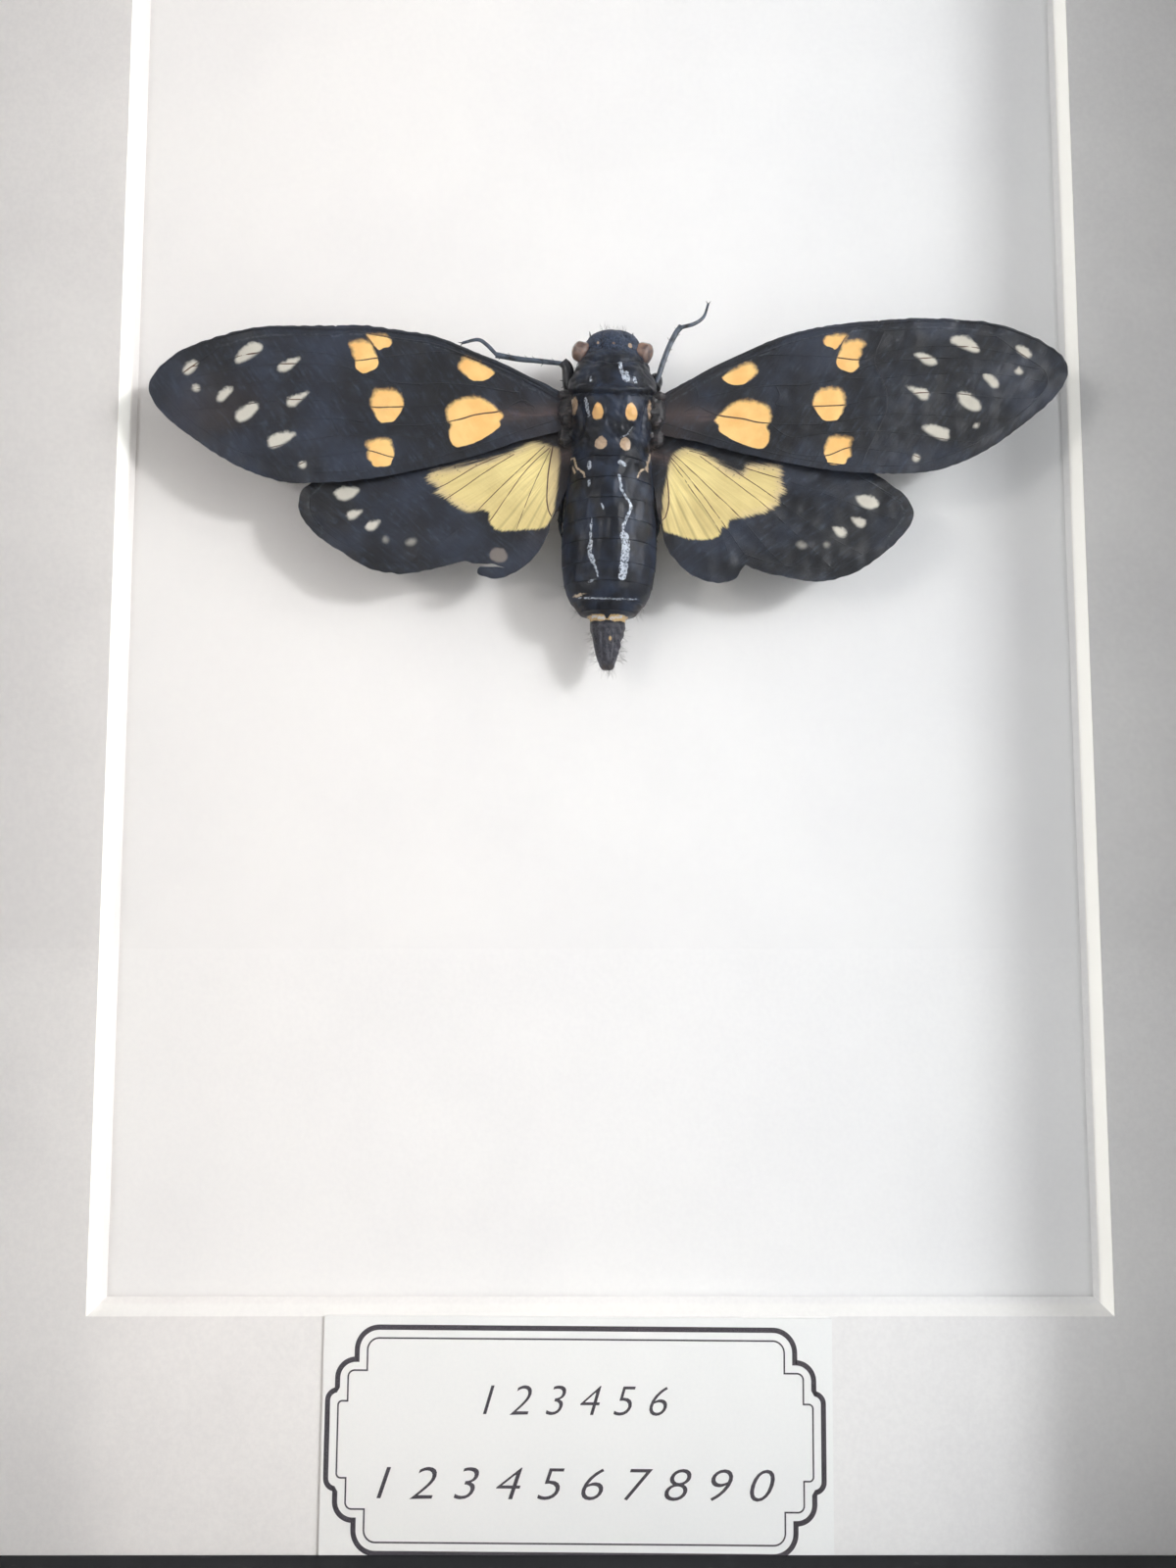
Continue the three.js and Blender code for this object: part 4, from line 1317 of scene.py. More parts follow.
    def marks(self, local: np.ndarray, upward: np.ndarray) -> dict[str, np.ndarray]:
        """Gives how deep each point is inside the orange, tan and pale marks, and inside the shiny rows that
        carry a painted highlight.

        Args:
            local: The skin's points in the insect's frame.
            upward: How far each point faces up.

        Returns:
            The mark depths by name.
        """
        across, _, station = local.T
        places = np.column_stack([across, station])
        hidden = np.where(upward > 0.1, 0.0, -5.0)
        orange = np.max([spot.depth(across, station) for spot in self.orange_spots], axis=0)
        tan = np.max([spot.depth(across, station) for spot in self.tan_spots], axis=0)
        rear, front = self.ring_stations
        lobes = rear + 0.14 * np.abs(np.cos(2.2 * across))
        peak = 0.4 * np.exp(-(((across + 0.1) / 0.24) ** 2))
        ring = np.minimum(front - peak - station, station - lobes)
        # Shiny rows, which get a coat and a painted highlight colour.
        gloss = [width - distance_to_line(places, curve_through(line, 4)) for width, line in self.gloss_and_painted_highlight_lines]
        pale = np.max([spot.depth(across, station) for spot in self.pale_spots], axis=0)
        for line in self.pale_lines:
            gap = distance_to_line(places, curve_through(line, 4))
            pale = np.maximum(pale, self.pale_line_half_width - gap)
        return {
            "orange": orange + hidden,
            "tan": np.maximum(tan + hidden, ring),
            "pale": pale + hidden,
            "leather": np.clip((4.5 - station) / 0.2, 0, 1),
            "furry": np.clip((station - 30.2) / 1.2, 0, 1) * 0.9,
            "gloss": np.max(gloss, axis=0) + hidden,
        }

    def build(self, finish: bpy.types.Material) -> bpy.types.Object:
        """Makes the body's object.

        Args:
            finish: Its material.

        Returns:
            The object.
        """
        points, faces, marks = self.skin()
        shape = Shape()
        shape.add(points, faces, **marks)
        return shape.build("cicada_body", finish, 60)


@dataclass
class Eyes:
    """The two compound eyes and the three small simple eyes between them."""

    setting: Setting
    centre: Triple = (3.08, 5.4, 31.55)
    radii: Triple = (1.02, 1.1, 1.16)
    simple: Sequence[Triple] = ((-0.42, 7.1, 31.35), (0.5, 7.1, 31.3), (0.05, 7.12, 31.8))
    simple_radius: float = 0.17

    def build(self, finish: bpy.types.Material) -> bpy.types.Object:
        """Makes the eyes' object.

        Args:
            finish: Its material.

        Returns:
            The object.
        """
        shape = Shape()
        for side in Side:
            across, height, station = self.centre

            def swell(ball: np.ndarray) -> np.ndarray:
                """Dents the eye a little and draws its outer side forward.

                Args:
                    ball: Points on the unit ball.

                Returns:
                    The moved points.
                """
                outward = ball[:, 0] * side.value
                ball = ball * (1 + 0.06 * relief(ball[:, 0] * 2, ball[:, 2] * 2, 2.5, 8))[:, None]
                ball[:, 2] += 0.1 * np.clip(outward, 0, 1)
                return ball

            points, faces = egg((side.value * across, height, station), self.radii, 36, 56, swell)
            shape.add(self.setting.place(points), faces)
        for centre in self.simple:
            points, faces = egg(centre, (self.simple_radius,) * 3, 10, 16)
            shape.add(self.setting.place(points), faces)
        return shape.build("cicada_eyes", finish)


@dataclass(frozen=True)
class Stretch:
    """One stretch of a leg: its radii at start, middle and end, and its points."""

    radii: Triple
    points: Sequence[Triple]


@dataclass
class Legs:
    """The six legs with spines and claws, the beak and the two feelers."""

    setting: Setting
    sides: int = 16
    steps: int = 10
    left_foreleg: Sequence[Stretch] = (
        Stretch((0.5, 0.62, 0.5),
                ((-3.0, 3.6, 27.0), (-4.2, 4.2, 28.2), (-4.5, 4.8, 30.2), (-5.0, 5.0, 30.8))),
        Stretch((0.24, 0.25, 0.3),
                ((-4.8, 5.0, 30.6), (-7.4, 5.0, 30.85), (-9.3, 5.0, 31.0), (-11.7, 5.2, 31.3))),
        Stretch((0.2, 0.19, 0.14),
                ((-11.6, 5.2, 31.3), (-12.6, 5.5, 32.2), (-13.5, 5.6, 32.65), (-15.0, 5.5, 32.35))),
    )
    right_foreleg: Sequence[Stretch] = (
        Stretch((0.5, 0.62, 0.45),
                ((3.0, 3.6, 27.4), (4.2, 4.2, 29.4), (4.5, 4.6, 29.0), (4.4, 5.0, 28.2))),
        Stretch((0.27, 0.27, 0.3),
                ((4.2, 5.0, 28.0), (5.3, 5.2, 31.6), (6.2, 5.2, 33.7), (6.8, 5.2, 34.6))),
        Stretch((0.2, 0.18, 0.12),
                ((6.7, 5.2, 34.5), (8.1, 5.0, 35.0), (9.1, 4.7, 35.9), (9.6, 4.2, 37.5))),
    )
    middle_leg: Sequence[Stretch] = (
        Stretch((0.5, 0.55, 0.35), ((2.2, 1.5, 25.5), (3.4, 1.3, 24.4), (4.6, 1.2, 22.6))),
        Stretch((0.26, 0.25, 0.28), ((4.5, 1.2, 22.8), (4.4, 1.0, 20.0), (4.2, 0.9, 17.6))),
        Stretch((0.19, 0.18, 0.1), ((4.2, 0.9, 17.8), (4.1, 0.8, 16.6), (4.0, 0.7, 15.6))),
    )
    hind_leg: Sequence[Stretch] = (
        Stretch((0.5, 0.55, 0.35), ((2.0, 1.3, 22.8), (3.6, 1.2, 21.0), (4.7, 1.2, 19.4))),
        Stretch((0.26, 0.25, 0.28), ((4.6, 1.2, 19.6), (4.9, 1.1, 17.6), (5.0, 1.0, 15.6))),
        Stretch((0.19, 0.18, 0.1), ((5.0, 1.0, 15.8), (5.0, 0.8, 15.0), (4.8, 0.7, 14.2))),
    )
    beak: Stretch = Stretch((0.42, 0.38, 0.12), ((0.0, 2.6, 32.4), (0.0, 1.2, 30.0), (0.0, 0.8, 26.5)))
    feelers: Sequence[Stretch] = (
        Stretch((0.16, 0.09, 0.03), ((-2.1, 5.0, 32.8), (-2.25, 5.1, 33.4), (-2.35, 5.3, 33.85))),
        Stretch((0.16, 0.09, 0.03), ((1.8, 5.2, 32.8), (1.95, 5.3, 33.4), (2.0, 5.3, 33.8))),
    )
    thorns: Sequence[tuple[Triple, Triple]] = (
        ((-4.75, 4.9, 28.9), (-0.5, 0.0, 0.12)),
        ((-4.7, 4.8, 28.4), (-0.42, 0.0, -0.12)),
    )
    thorn_radius: float = 0.09
    spine_radius: float = 0.045
    claw_radius: float = 0.07

    def add_stretch(self, shape: Shape, stretch: Stretch, thin: float, mirrored: int = 1) -> np.ndarray:
        """Adds one tapered stretch.

        Args:
            shape: The mesh that it is added to.
            stretch: Its radii and points.
            thin: How much of the thin legs' paler colour it has.
            mirrored: -1 to put it on the other side.

        Returns:
            Its middle line in the object's frame.
        """
        local = curve_through(stretch.points, self.steps) * np.array([mirrored, 1, 1])
        line = self.setting.place(local)
        along = np.linspace(0, 1, len(line))
        radii = np.interp(along, [0, 0.5, 1], stretch.radii)
        radii *= 1 + 0.05 * relief(along * 12, along, 3.0, 11)
        points, faces = swept(line, radii, self.sides)
        shape.add(points, faces, thin=thin)
        return line

    def add_spike(self, shape: Shape, base: np.ndarray, reach: np.ndarray, radius: float) -> None:
        """Adds one slightly curved spike.

        Args:
            shape: The mesh that it is added to.
            base: Where it starts.
            reach: From its base to its tip.
            radius: Its radius at the base.
        """
        hook = np.cross(reach, [0.0, 1.0, 0.0]) * 0.18
        line = np.array([base, base + reach * 0.5 + hook * 0.6, base + reach + hook])
        points, faces = swept(curve_through(line, 3), np.linspace(radius, 0.01, 7), 7)
        shape.add(points, faces, thin=0.0)

    def add_leg(self, shape: Shape, leg: Sequence[Stretch], mirrored: int, seed: int) -> None:
        """Adds one leg with spines along its middle stretch and two claws.

        Args:
            shape: The mesh that it is added to.
            leg: Its stretches from the body out.
            mirrored: -1 to put it on the other side.
            seed: Which scatter of spines it has.
        """
        chance = np.random.default_rng(seed)
        shares = (0.0, 1.0, 1.0)
        lines = [self.add_stretch(shape, stretch, thin, mirrored) for stretch, thin in zip(leg, shares)]
        for index in np.linspace(4, len(lines[1]) - 3, 7).astype(int):
            ahead = lines[1][index + 1] - lines[1][index]
            ahead /= np.linalg.norm(ahead)
            away = np.cross(ahead, [0.0, 1.0, 0.0]) * chance.choice([-1, 1])
            reach = (ahead * 0.8 + away * 0.9) * chance.uniform(0.22, 0.36)
            self.add_spike(shape, lines[1][index] + away * 0.2, reach, self.spine_radius)
        tip = lines[2][-1]
        ahead = tip - lines[2][-3]
        ahead /= np.linalg.norm(ahead)
        away = np.cross(ahead, [0.0, 1.0, 0.0])
        for way in (-1, 1):
            self.add_spike(shape, tip, ahead * 0.42 + away * 0.26 * way, self.claw_radius)

    def build(self, finish: bpy.types.Material) -> bpy.types.Object:
        """Makes the object of legs, beak and feelers.

        Args:
            finish: Its material.

        Returns:
            The object.
        """
        shape = Shape()
        self.add_leg(shape, self.left_foreleg, 1, 21)
        self.add_leg(shape, self.right_foreleg, 1, 22)
        for side in Side:
            self.add_leg(shape, self.middle_leg, side.value, 23 + side.value)
            self.add_leg(shape, self.hind_leg, side.value, 26 + side.value)
        self.add_stretch(shape, self.beak, 0.2)
        for feeler in self.feelers:
            self.add_stretch(shape, feeler, 0.0)
        for base, reach in self.thorns:
            start = self.setting.place(np.array([base]))[0]
            self.add_spike(shape, start, np.array(reach), self.thorn_radius)
        return shape.build("cicada_legs", finish)


FORE_OUTLINE = (
    (-1.5, -2.0), (-0.5, 0.4), (3.9, 2.5), (8.0, 4.3), (12.8, 5.9), (17.5, 6.65), (21.9, 6.75), (22.4, 6.5),
    (22.9, 6.7), (27.0, 6.6), (31.2, 6.1), (34.6, 5.2), (37.7, 3.7), (39.8, 1.9), (40.6, 0.1), (40.0, -1.5),
    (38.4, -3.2), (35.6, -5.2), (32.0, -7.4), (28.8, -8.7), (25.2, -9.3), (19.0, -8.8), (13.0, -7.4),
    (8.0, -5.9), (3.6, -4.3), (0.0, -3.2),
)
FORE_AREAS = {
    "orange": (
        ((19.4, 6.0), (19.1, 6.2), (17.7, 6.2), (17.1, 5.8), (17.2, 5.2), (17.8, 5.0), (18.2, 4.7),
         (18.7, 5.2), (19.1, 5.6)),
        ((21.1, 5.0), (20.9, 5.4), (20.0, 5.5), (19.3, 5.4), (18.9, 5.1), (18.6, 4.4), (18.3, 3.9),
         (18.2, 3.4), (18.4, 2.8), (18.9, 2.5), (19.6, 2.2), (20.0, 2.4), (20.4, 2.8), (20.4, 3.4),
(20.7, 4.0), (20.8, 4.6)),
        ((18.7, -0.7), (18.4, 0.5), (18.0, 0.6), (16.7, 0.7), (16.0, 0.3), (15.7, 0.0), (15.5, -0.8),
         (15.7, -1.4), (16.0, -1.9), (16.3, -2.4), (16.7, -2.6), (17.7, -2.6), (18.2, -2.0), (18.4, -1.6)),
        ((18.9, -4.7), (18.2, -4.4), (16.9, -4.3), (16.5, -4.8), (16.2, -5.6), (16.2, -6.0), (16.4, -6.5),
         (16.5, -6.9), (17.1, -7.1), (18.1, -7.1), (18.4, -6.6), (18.8, -6.2), (18.7, -5.5)),
        ((9.7, 4.2), (8.7, 3.9), (7.8, 3.5), (6.8, 2.9), (7.0, 2.5), (7.5, 2.1), (8.3, 1.9), (9.0, 2.0),
         (9.5, 2.4), (10.1, 2.9), (10.3, 3.3), (10.1, 3.8)),
        ((11.2, -1.0), (10.9, -0.6), (10.3, -0.2), (9.4, 0.15), (8.4, 0.25), (7.4, -0.1), (6.8, -0.5),
         (6.3, -0.95), (5.7, -1.5), (6.05, -2.0), (6.0, -2.5), (6.4, -3.0), (7.6, -3.9), (8.8, -4.5),
         (9.8, -4.85), (10.4, -4.75), (10.8, -4.2), (10.95, -3.3), (10.7, -2.7), (11.1, -2.3),
(11.25, -1.6)),
    ),
    "cream": (
        ((37.4, 1.8), (37.5, 2.3), (37.1, 2.9), (36.5, 3.2), (36.1, 3.1), (36.1, 2.6), (36.5, 2.0),
         (37.0, 1.7)),
        ((36.5, 0.2), (36.5, 0.6), (36.1, 0.8), (35.7, 0.6), (35.7, 0.2), (36.1, 0.0)),
        ((32.4, 3.1), (32.3, 3.8), (31.6, 4.7), (30.8, 5.1), (29.9, 5.0), (29.7, 4.4), (30.3, 3.9),
         (31.2, 3.3), (31.9, 3.0)),
        ((28.1, 2.5), (28.0, 2.9), (27.3, 3.4), (26.6, 3.7), (25.9, 3.6), (26.3, 3.1), (26.8, 2.5),
         (27.5, 2.2), (28.0, 2.3)),
        ((33.9, -0.9), (33.9, -0.3), (33.2, 0.3), (32.5, 0.5), (32.4, 0.1), (32.8, -0.4), (33.3, -1.0),
         (33.8, -1.0)),
        ((31.9, -2.8), (32.0, -2.2), (31.3, -1.4), (30.4, -0.9), (29.8, -1.1), (29.8, -1.6), (30.3, -2.3),
         (30.9, -2.8), (31.5, -3.0)),
        ((26.9, -1.2), (27.0, -0.7), (26.6, -0.2), (25.9, 0.0), (24.8, 0.3), (25.4, -0.5), (25.8, -0.9),
         (26.2, -1.3), (26.7, -1.3)),
        ((28.6, -5.0), (28.6, -4.5), (28.0, -4.1), (27.0, -3.8), (26.2, -3.9), (25.9, -4.1), (26.4, -4.6),
         (27.2, -5.2), (28.0, -5.6), (28.5, -5.4)),
        ((25.5, -7.2), (25.4, -6.8), (25.0, -6.7), (24.7, -7.0), (24.8, -7.4), (25.2, -7.5)),
    ),
}
FORE_VEINS = (
    (0.32, 0.3, ((-1.2, -0.5), (3.9, 2.3), (8.0, 4.1), (12.8, 5.7), (17.5, 6.4), (22.4, 6.3), (27.0, 6.35),
                 (31.2, 5.9), (34.6, 5.0), (37.6, 3.5), (39.7, 1.8), (40.4, 0.1))),
    (0.24, 0.5, ((-1.0, -0.5), (3.7, 1.8), (8.0, 3.6), (12.8, 5.1), (17.5, 5.85), (20.2, 6.1))),
    (0.12, 0.6, ((20.2, 6.2), (23.0, 5.8), (28.0, 5.6), (34.0, 4.4))),
    (0.13, 0.8, ((20.2, 6.3), (19.2, 5.6), (18.7, 5.0), (18.2, 4.3))),
    (0.12, 0.8, ((8.0, 3.6), (11.0, 4.4), (15.0, 4.4), (18.2, 3.9), (20.7, 3.5), (24.0, 4.2), (30.0, 4.1),
                 (36.6, 2.5))),
    (0.15, 0.7, ((3.7, 1.7), (4.2, 0.8), (3.9, 0.0), (2.6, -0.7))),
    (0.15, 0.6, ((4.2, 0.8), (9.0, 1.4), (12.0, 1.5), (15.0, 1.3), (18.6, 1.7), (22.0, 2.9), (28.0, 3.0),
                 (34.0, 2.1), (38.5, 0.9))),
    (0.1, 0.8, ((18.6, 1.7), (22.5, 1.3), (28.0, 1.3), (34.0, 0.7), (38.8, -0.4))),
    (0.12, 0.7, ((12.0, 1.5), (12.3, 0.4), (12.0, -0.6), (15.5, -1.0), (18.7, -1.1), (22.8, -0.6),
                 (28.0, -0.7), (33.5, -1.6), (37.7, -2.0))),
    (0.14, 0.6, ((2.6, -0.7), (4.0, 0.0), (6.0, -1.0), (8.4, -1.6), (11.0, -2.4), (16.0, -2.9),
                 (22.5, -2.4), (27.5, -2.9), (32.0, -3.6), (35.2, -3.9))),
    (0.1, 0.8, ((11.0, -2.4), (13.0, -4.0), (16.2, -3.9), (21.5, -4.1), (26.0, -4.9), (29.5, -5.8),
                (31.6, -6.0))),
    (0.1, 0.8, ((11.5, -4.9), (13.0, -5.6), (16.2, -6.1), (18.8, -5.5), (21.5, -6.0), (24.0, -6.5),
                (26.6, -7.6))),
    (0.13, 0.7, ((-1.0, -1.6), (5.0, -3.6), (8.0, -4.9), (10.0, -5.6), (13.0, -6.5), (19.5, -8.1))),
    (0.09, 1.0, ((23.0, 5.8), (22.2, 4.2), (22.0, 2.9), (22.5, 1.3), (22.8, -0.6), (22.5, -2.4),
                 (21.5, -4.1), (20.5, -5.8), (19.5, -7.7))),
    (0.1, 1.0, ((34.0, 4.4), (36.6, 2.5), (38.5, 0.9), (38.8, -0.4), (37.7, -2.0), (35.2, -3.9),
                (31.6, -6.0), (27.6, -7.3), (24.0, -8.0), (19.5, -7.7))),
)
HIND_AREAS = {
    "cream": (
        ((22.7, 0.3), (22.7, -0.3), (22.0, -0.8), (21.1, -0.7), (20.3, 0.0), (20.9, 0.4), (21.8, 0.6)),
        ((22.1, -2.2), (21.9, -2.7), (21.3, -2.8), (20.4, -2.2), (20.9, -2.0), (21.6, -1.9)),
        ((20.5, -3.8), (20.2, -4.3), (19.6, -4.3), (18.9, -3.6), (19.4, -3.4), (20.0, -3.4)),
    ),
    "haze": (
        ((19.1, -5.5), (18.8, -5.8), (18.5, -5.5), (18.8, -5.2)),
        ((17.0, -6.2), (16.5, -6.6), (15.9, -6.3), (16.3, -5.9)),
    ),
}
LEFT_HIND_OUTLINE = (
    (-1.5, -2.0), (-1.0, 2.6), (6.0, 3.8), (14.0, 4.0), (20.0, 3.5), (23.5, 2.4), (24.9, 1.6), (25.9, 1.1),
    (26.3, 0.3), (26.5, -0.6), (26.2, -1.8), (25.6, -3.0), (24.7, -4.2), (23.2, -5.7), (22.0, -7.0),
    (20.6, -8.1), (19.1, -8.7), (17.9, -9.1), (16.0, -9.3), (13.8, -9.3), (11.9, -9.2), (11.0, -9.6),
    (9.9, -9.9), (9.0, -10.15), (8.1, -10.75), (8.1, -10.75), (9.0, -10.45), (9.8, -10.25), (10.5, -10.1),
    (10.8, -10.7), (10.0, -11.2), (9.1, -11.6), (7.6, -11.5), (6.1, -10.9), (4.9, -10.1), (4.0, -9.2),
    (3.2, -8.1), (2.7, -7.0), (1.6, -5.6), (0.3, -4.0),
)
RIGHT_HIND_OUTLINE = (
    (-1.5, -2.0), (-1.0, 2.6), (6.0, 3.8), (14.0, 4.0), (18.5, 3.6), (22.0, 2.8), (23.4, 2.3), (24.8, 1.8),
    (25.8, 1.0), (26.4, 0.0), (26.3, -1.3), (25.5, -3.2), (24.1, -5.3), (22.6, -7.1), (21.0, -8.3),
    (19.3, -9.2), (17.5, -9.6), (15.6, -9.8), (13.6, -9.9), (11.9, -9.75), (11.6, -9.6), (11.6, -9.6),
    (11.3, -10.4), (10.9, -11.4), (9.4, -12.2), (7.8, -12.3), (6.1, -11.9), (4.5, -10.9), (3.4, -9.9),
    (2.4, -8.1), (1.5, -6.4), (0.3, -4.0),
)
LEFT_FAN = (
    (13.8, -0.7), (13.3, 0.2), (11.5, 0.3), (9.4, 0.2), (7.6, 0.3), (5.0, 0.6), (2.9, 1.0), (0.9, 0.1),
    (0.4, -0.6), (1.3, -3.6), (2.0, -5.6), (2.6, -6.8), (3.6, -7.7), (5.7, -7.5), (7.4, -7.2), (8.2, -6.8),
    (8.7, -5.9), (8.5, -5.1), (9.2, -4.7), (10.6, -4.6), (12.1, -3.3), (12.6, -2.6), (13.4, -2.0),
(12.9, -1.7), )
RIGHT_FAN = (
    (1.3, -0.9), (1.8, 0.0), (2.6, 0.5), (4.8, 0.4), (7.0, -0.3), (8.5, -0.5), (8.7, 0.1), (9.1, 0.6),
    (12.0, 1.2), (12.7, 0.6), (12.9, -0.2), (13.6, -1.4), (13.1, -1.9), (13.2, -3.0), (12.2, -4.0),
    (11.6, -4.4), (10.2, -5.2), (9.4, -5.5), (8.8, -5.8), (8.9, -6.6), (8.3, -6.6), (8.4, -7.3),
    (7.6, -8.1), (5.9, -8.6), (4.3, -8.6), (3.0, -8.6), (2.5, -7.9), (2.2, -7.1), (1.7, -5.0), (1.5, -3.0),
)
LEFT_HIND_VEINS = (
    (0.14, 0.6, ((-1.0, 1.5), (8.0, 1.9), (16.0, 2.6), (21.0, 2.4), (25.0, 0.9))),
    (0.08, 0.9, ((4.9, 0.5), (9.0, -0.4), (12.8, -1.6), (18.0, -2.2), (23.6, -1.4), (25.4, -1.2))),
    (0.08, 0.9, ((4.9, 0.1), (8.6, -1.3), (11.9, -2.7), (17.0, -4.6), (22.4, -5.4))),
    (0.08, 0.9, ((1.8, 0.3), (5.0, -1.7), (8.2, -3.7), (10.7, -5.4), (14.5, -7.4), (17.6, -8.2))),
    (0.08, 0.9, ((1.4, 0.0), (3.4, -1.2), (5.2, -2.7), (8.7, -6.0), (11.0, -8.0), (12.4, -8.7))),
    (0.07, 0.9, ((1.3, -0.1), (3.6, -3.2), (6.0, -6.9), (7.6, -9.8))),
    (0.12, 0.8, ((1.0, 0.2), (2.0, -2.3), (2.7, -4.8), (2.8, -6.2), (2.6, -6.9))),
    (0.09, 0.9, ((2.6, -6.8), (2.2, -7.1), (1.7, -6.4), (1.2, -4.8), (0.8, -3.0), (0.5, -1.2))),
    (0.08, 1.0, ((25.0, 0.9), (25.4, -1.2), (24.5, -3.2), (22.4, -5.4), (20.2, -7.2), (17.6, -8.2),
                 (12.4, -8.7))),
)
RIGHT_HIND_VEINS = (
    (0.14, 0.6, ((-1.0, 1.5), (8.0, 1.9), (16.0, 2.6), (21.0, 2.0), (24.9, 0.9))),
    (0.08, 0.9, ((3.0, 0.2), (8.8, -0.1), (13.0, -0.2), (18.0, -0.6), (23.0, -1.0), (25.2, -1.1))),
    (0.08, 0.9, ((4.8, 0.4), (9.0, -1.0), (13.2, -2.5), (18.0, -4.4), (22.6, -5.4))),
    (0.08, 0.9, ((4.2, -0.1), (8.1, -1.7), (12.0, -3.4), (16.5, -5.8), (20.0, -7.6))),
    (0.08, 0.9, ((1.5, -0.5), (5.8, -2.9), (10.1, -5.4), (13.4, -7.6), (15.4, -8.7))),
    (0.08, 0.9, ((1.2, -0.8), (5.1, -3.6), (8.9, -6.7), (11.2, -8.7))),
    (0.07, 0.9, ((1.0, -0.9), (4.8, -4.1), (8.4, -7.3), (10.0, -9.8))),
    (0.12, 0.8, ((0.5, -0.5), (1.8, -3.6), (2.5, -5.7), (2.6, -7.2))),
    (0.09, 0.9, ((2.6, -7.1), (2.2, -7.7), (1.7, -7.4), (1.3, -6.0), (0.9, -4.2), (0.4, -2.0))),
    (0.08, 1.0, ((24.9, 0.9), (25.2, -1.1), (24.3, -3.3), (22.6, -5.4), (20.0, -7.6), (15.4, -8.7),
                 (11.2, -8.7))),
)


@dataclass(frozen=True)
class WingPlan:
    """One wing: its outline, coloured areas and veins, and how it is set on the body."""

    name: str
    side: Side
    length: float
    outline: Sequence[Pair]
    areas: dict[str, Sequence[Sequence[Pair]]]
    veins: Sequence[tuple[float, float, Sequence[Pair]]]
    root: Triple
    rise_deg: float
    scale: float
    tip_height: float
    anal_line: Sequence[Pair] = ()
    marks_shift: Pair = (0.0, 0.0)
    tip_marks_lift: float = 0.0
    front_scale: float = 1.0
    warm_middle: Pair = (99.0, 0.0)
    seed: int = 1


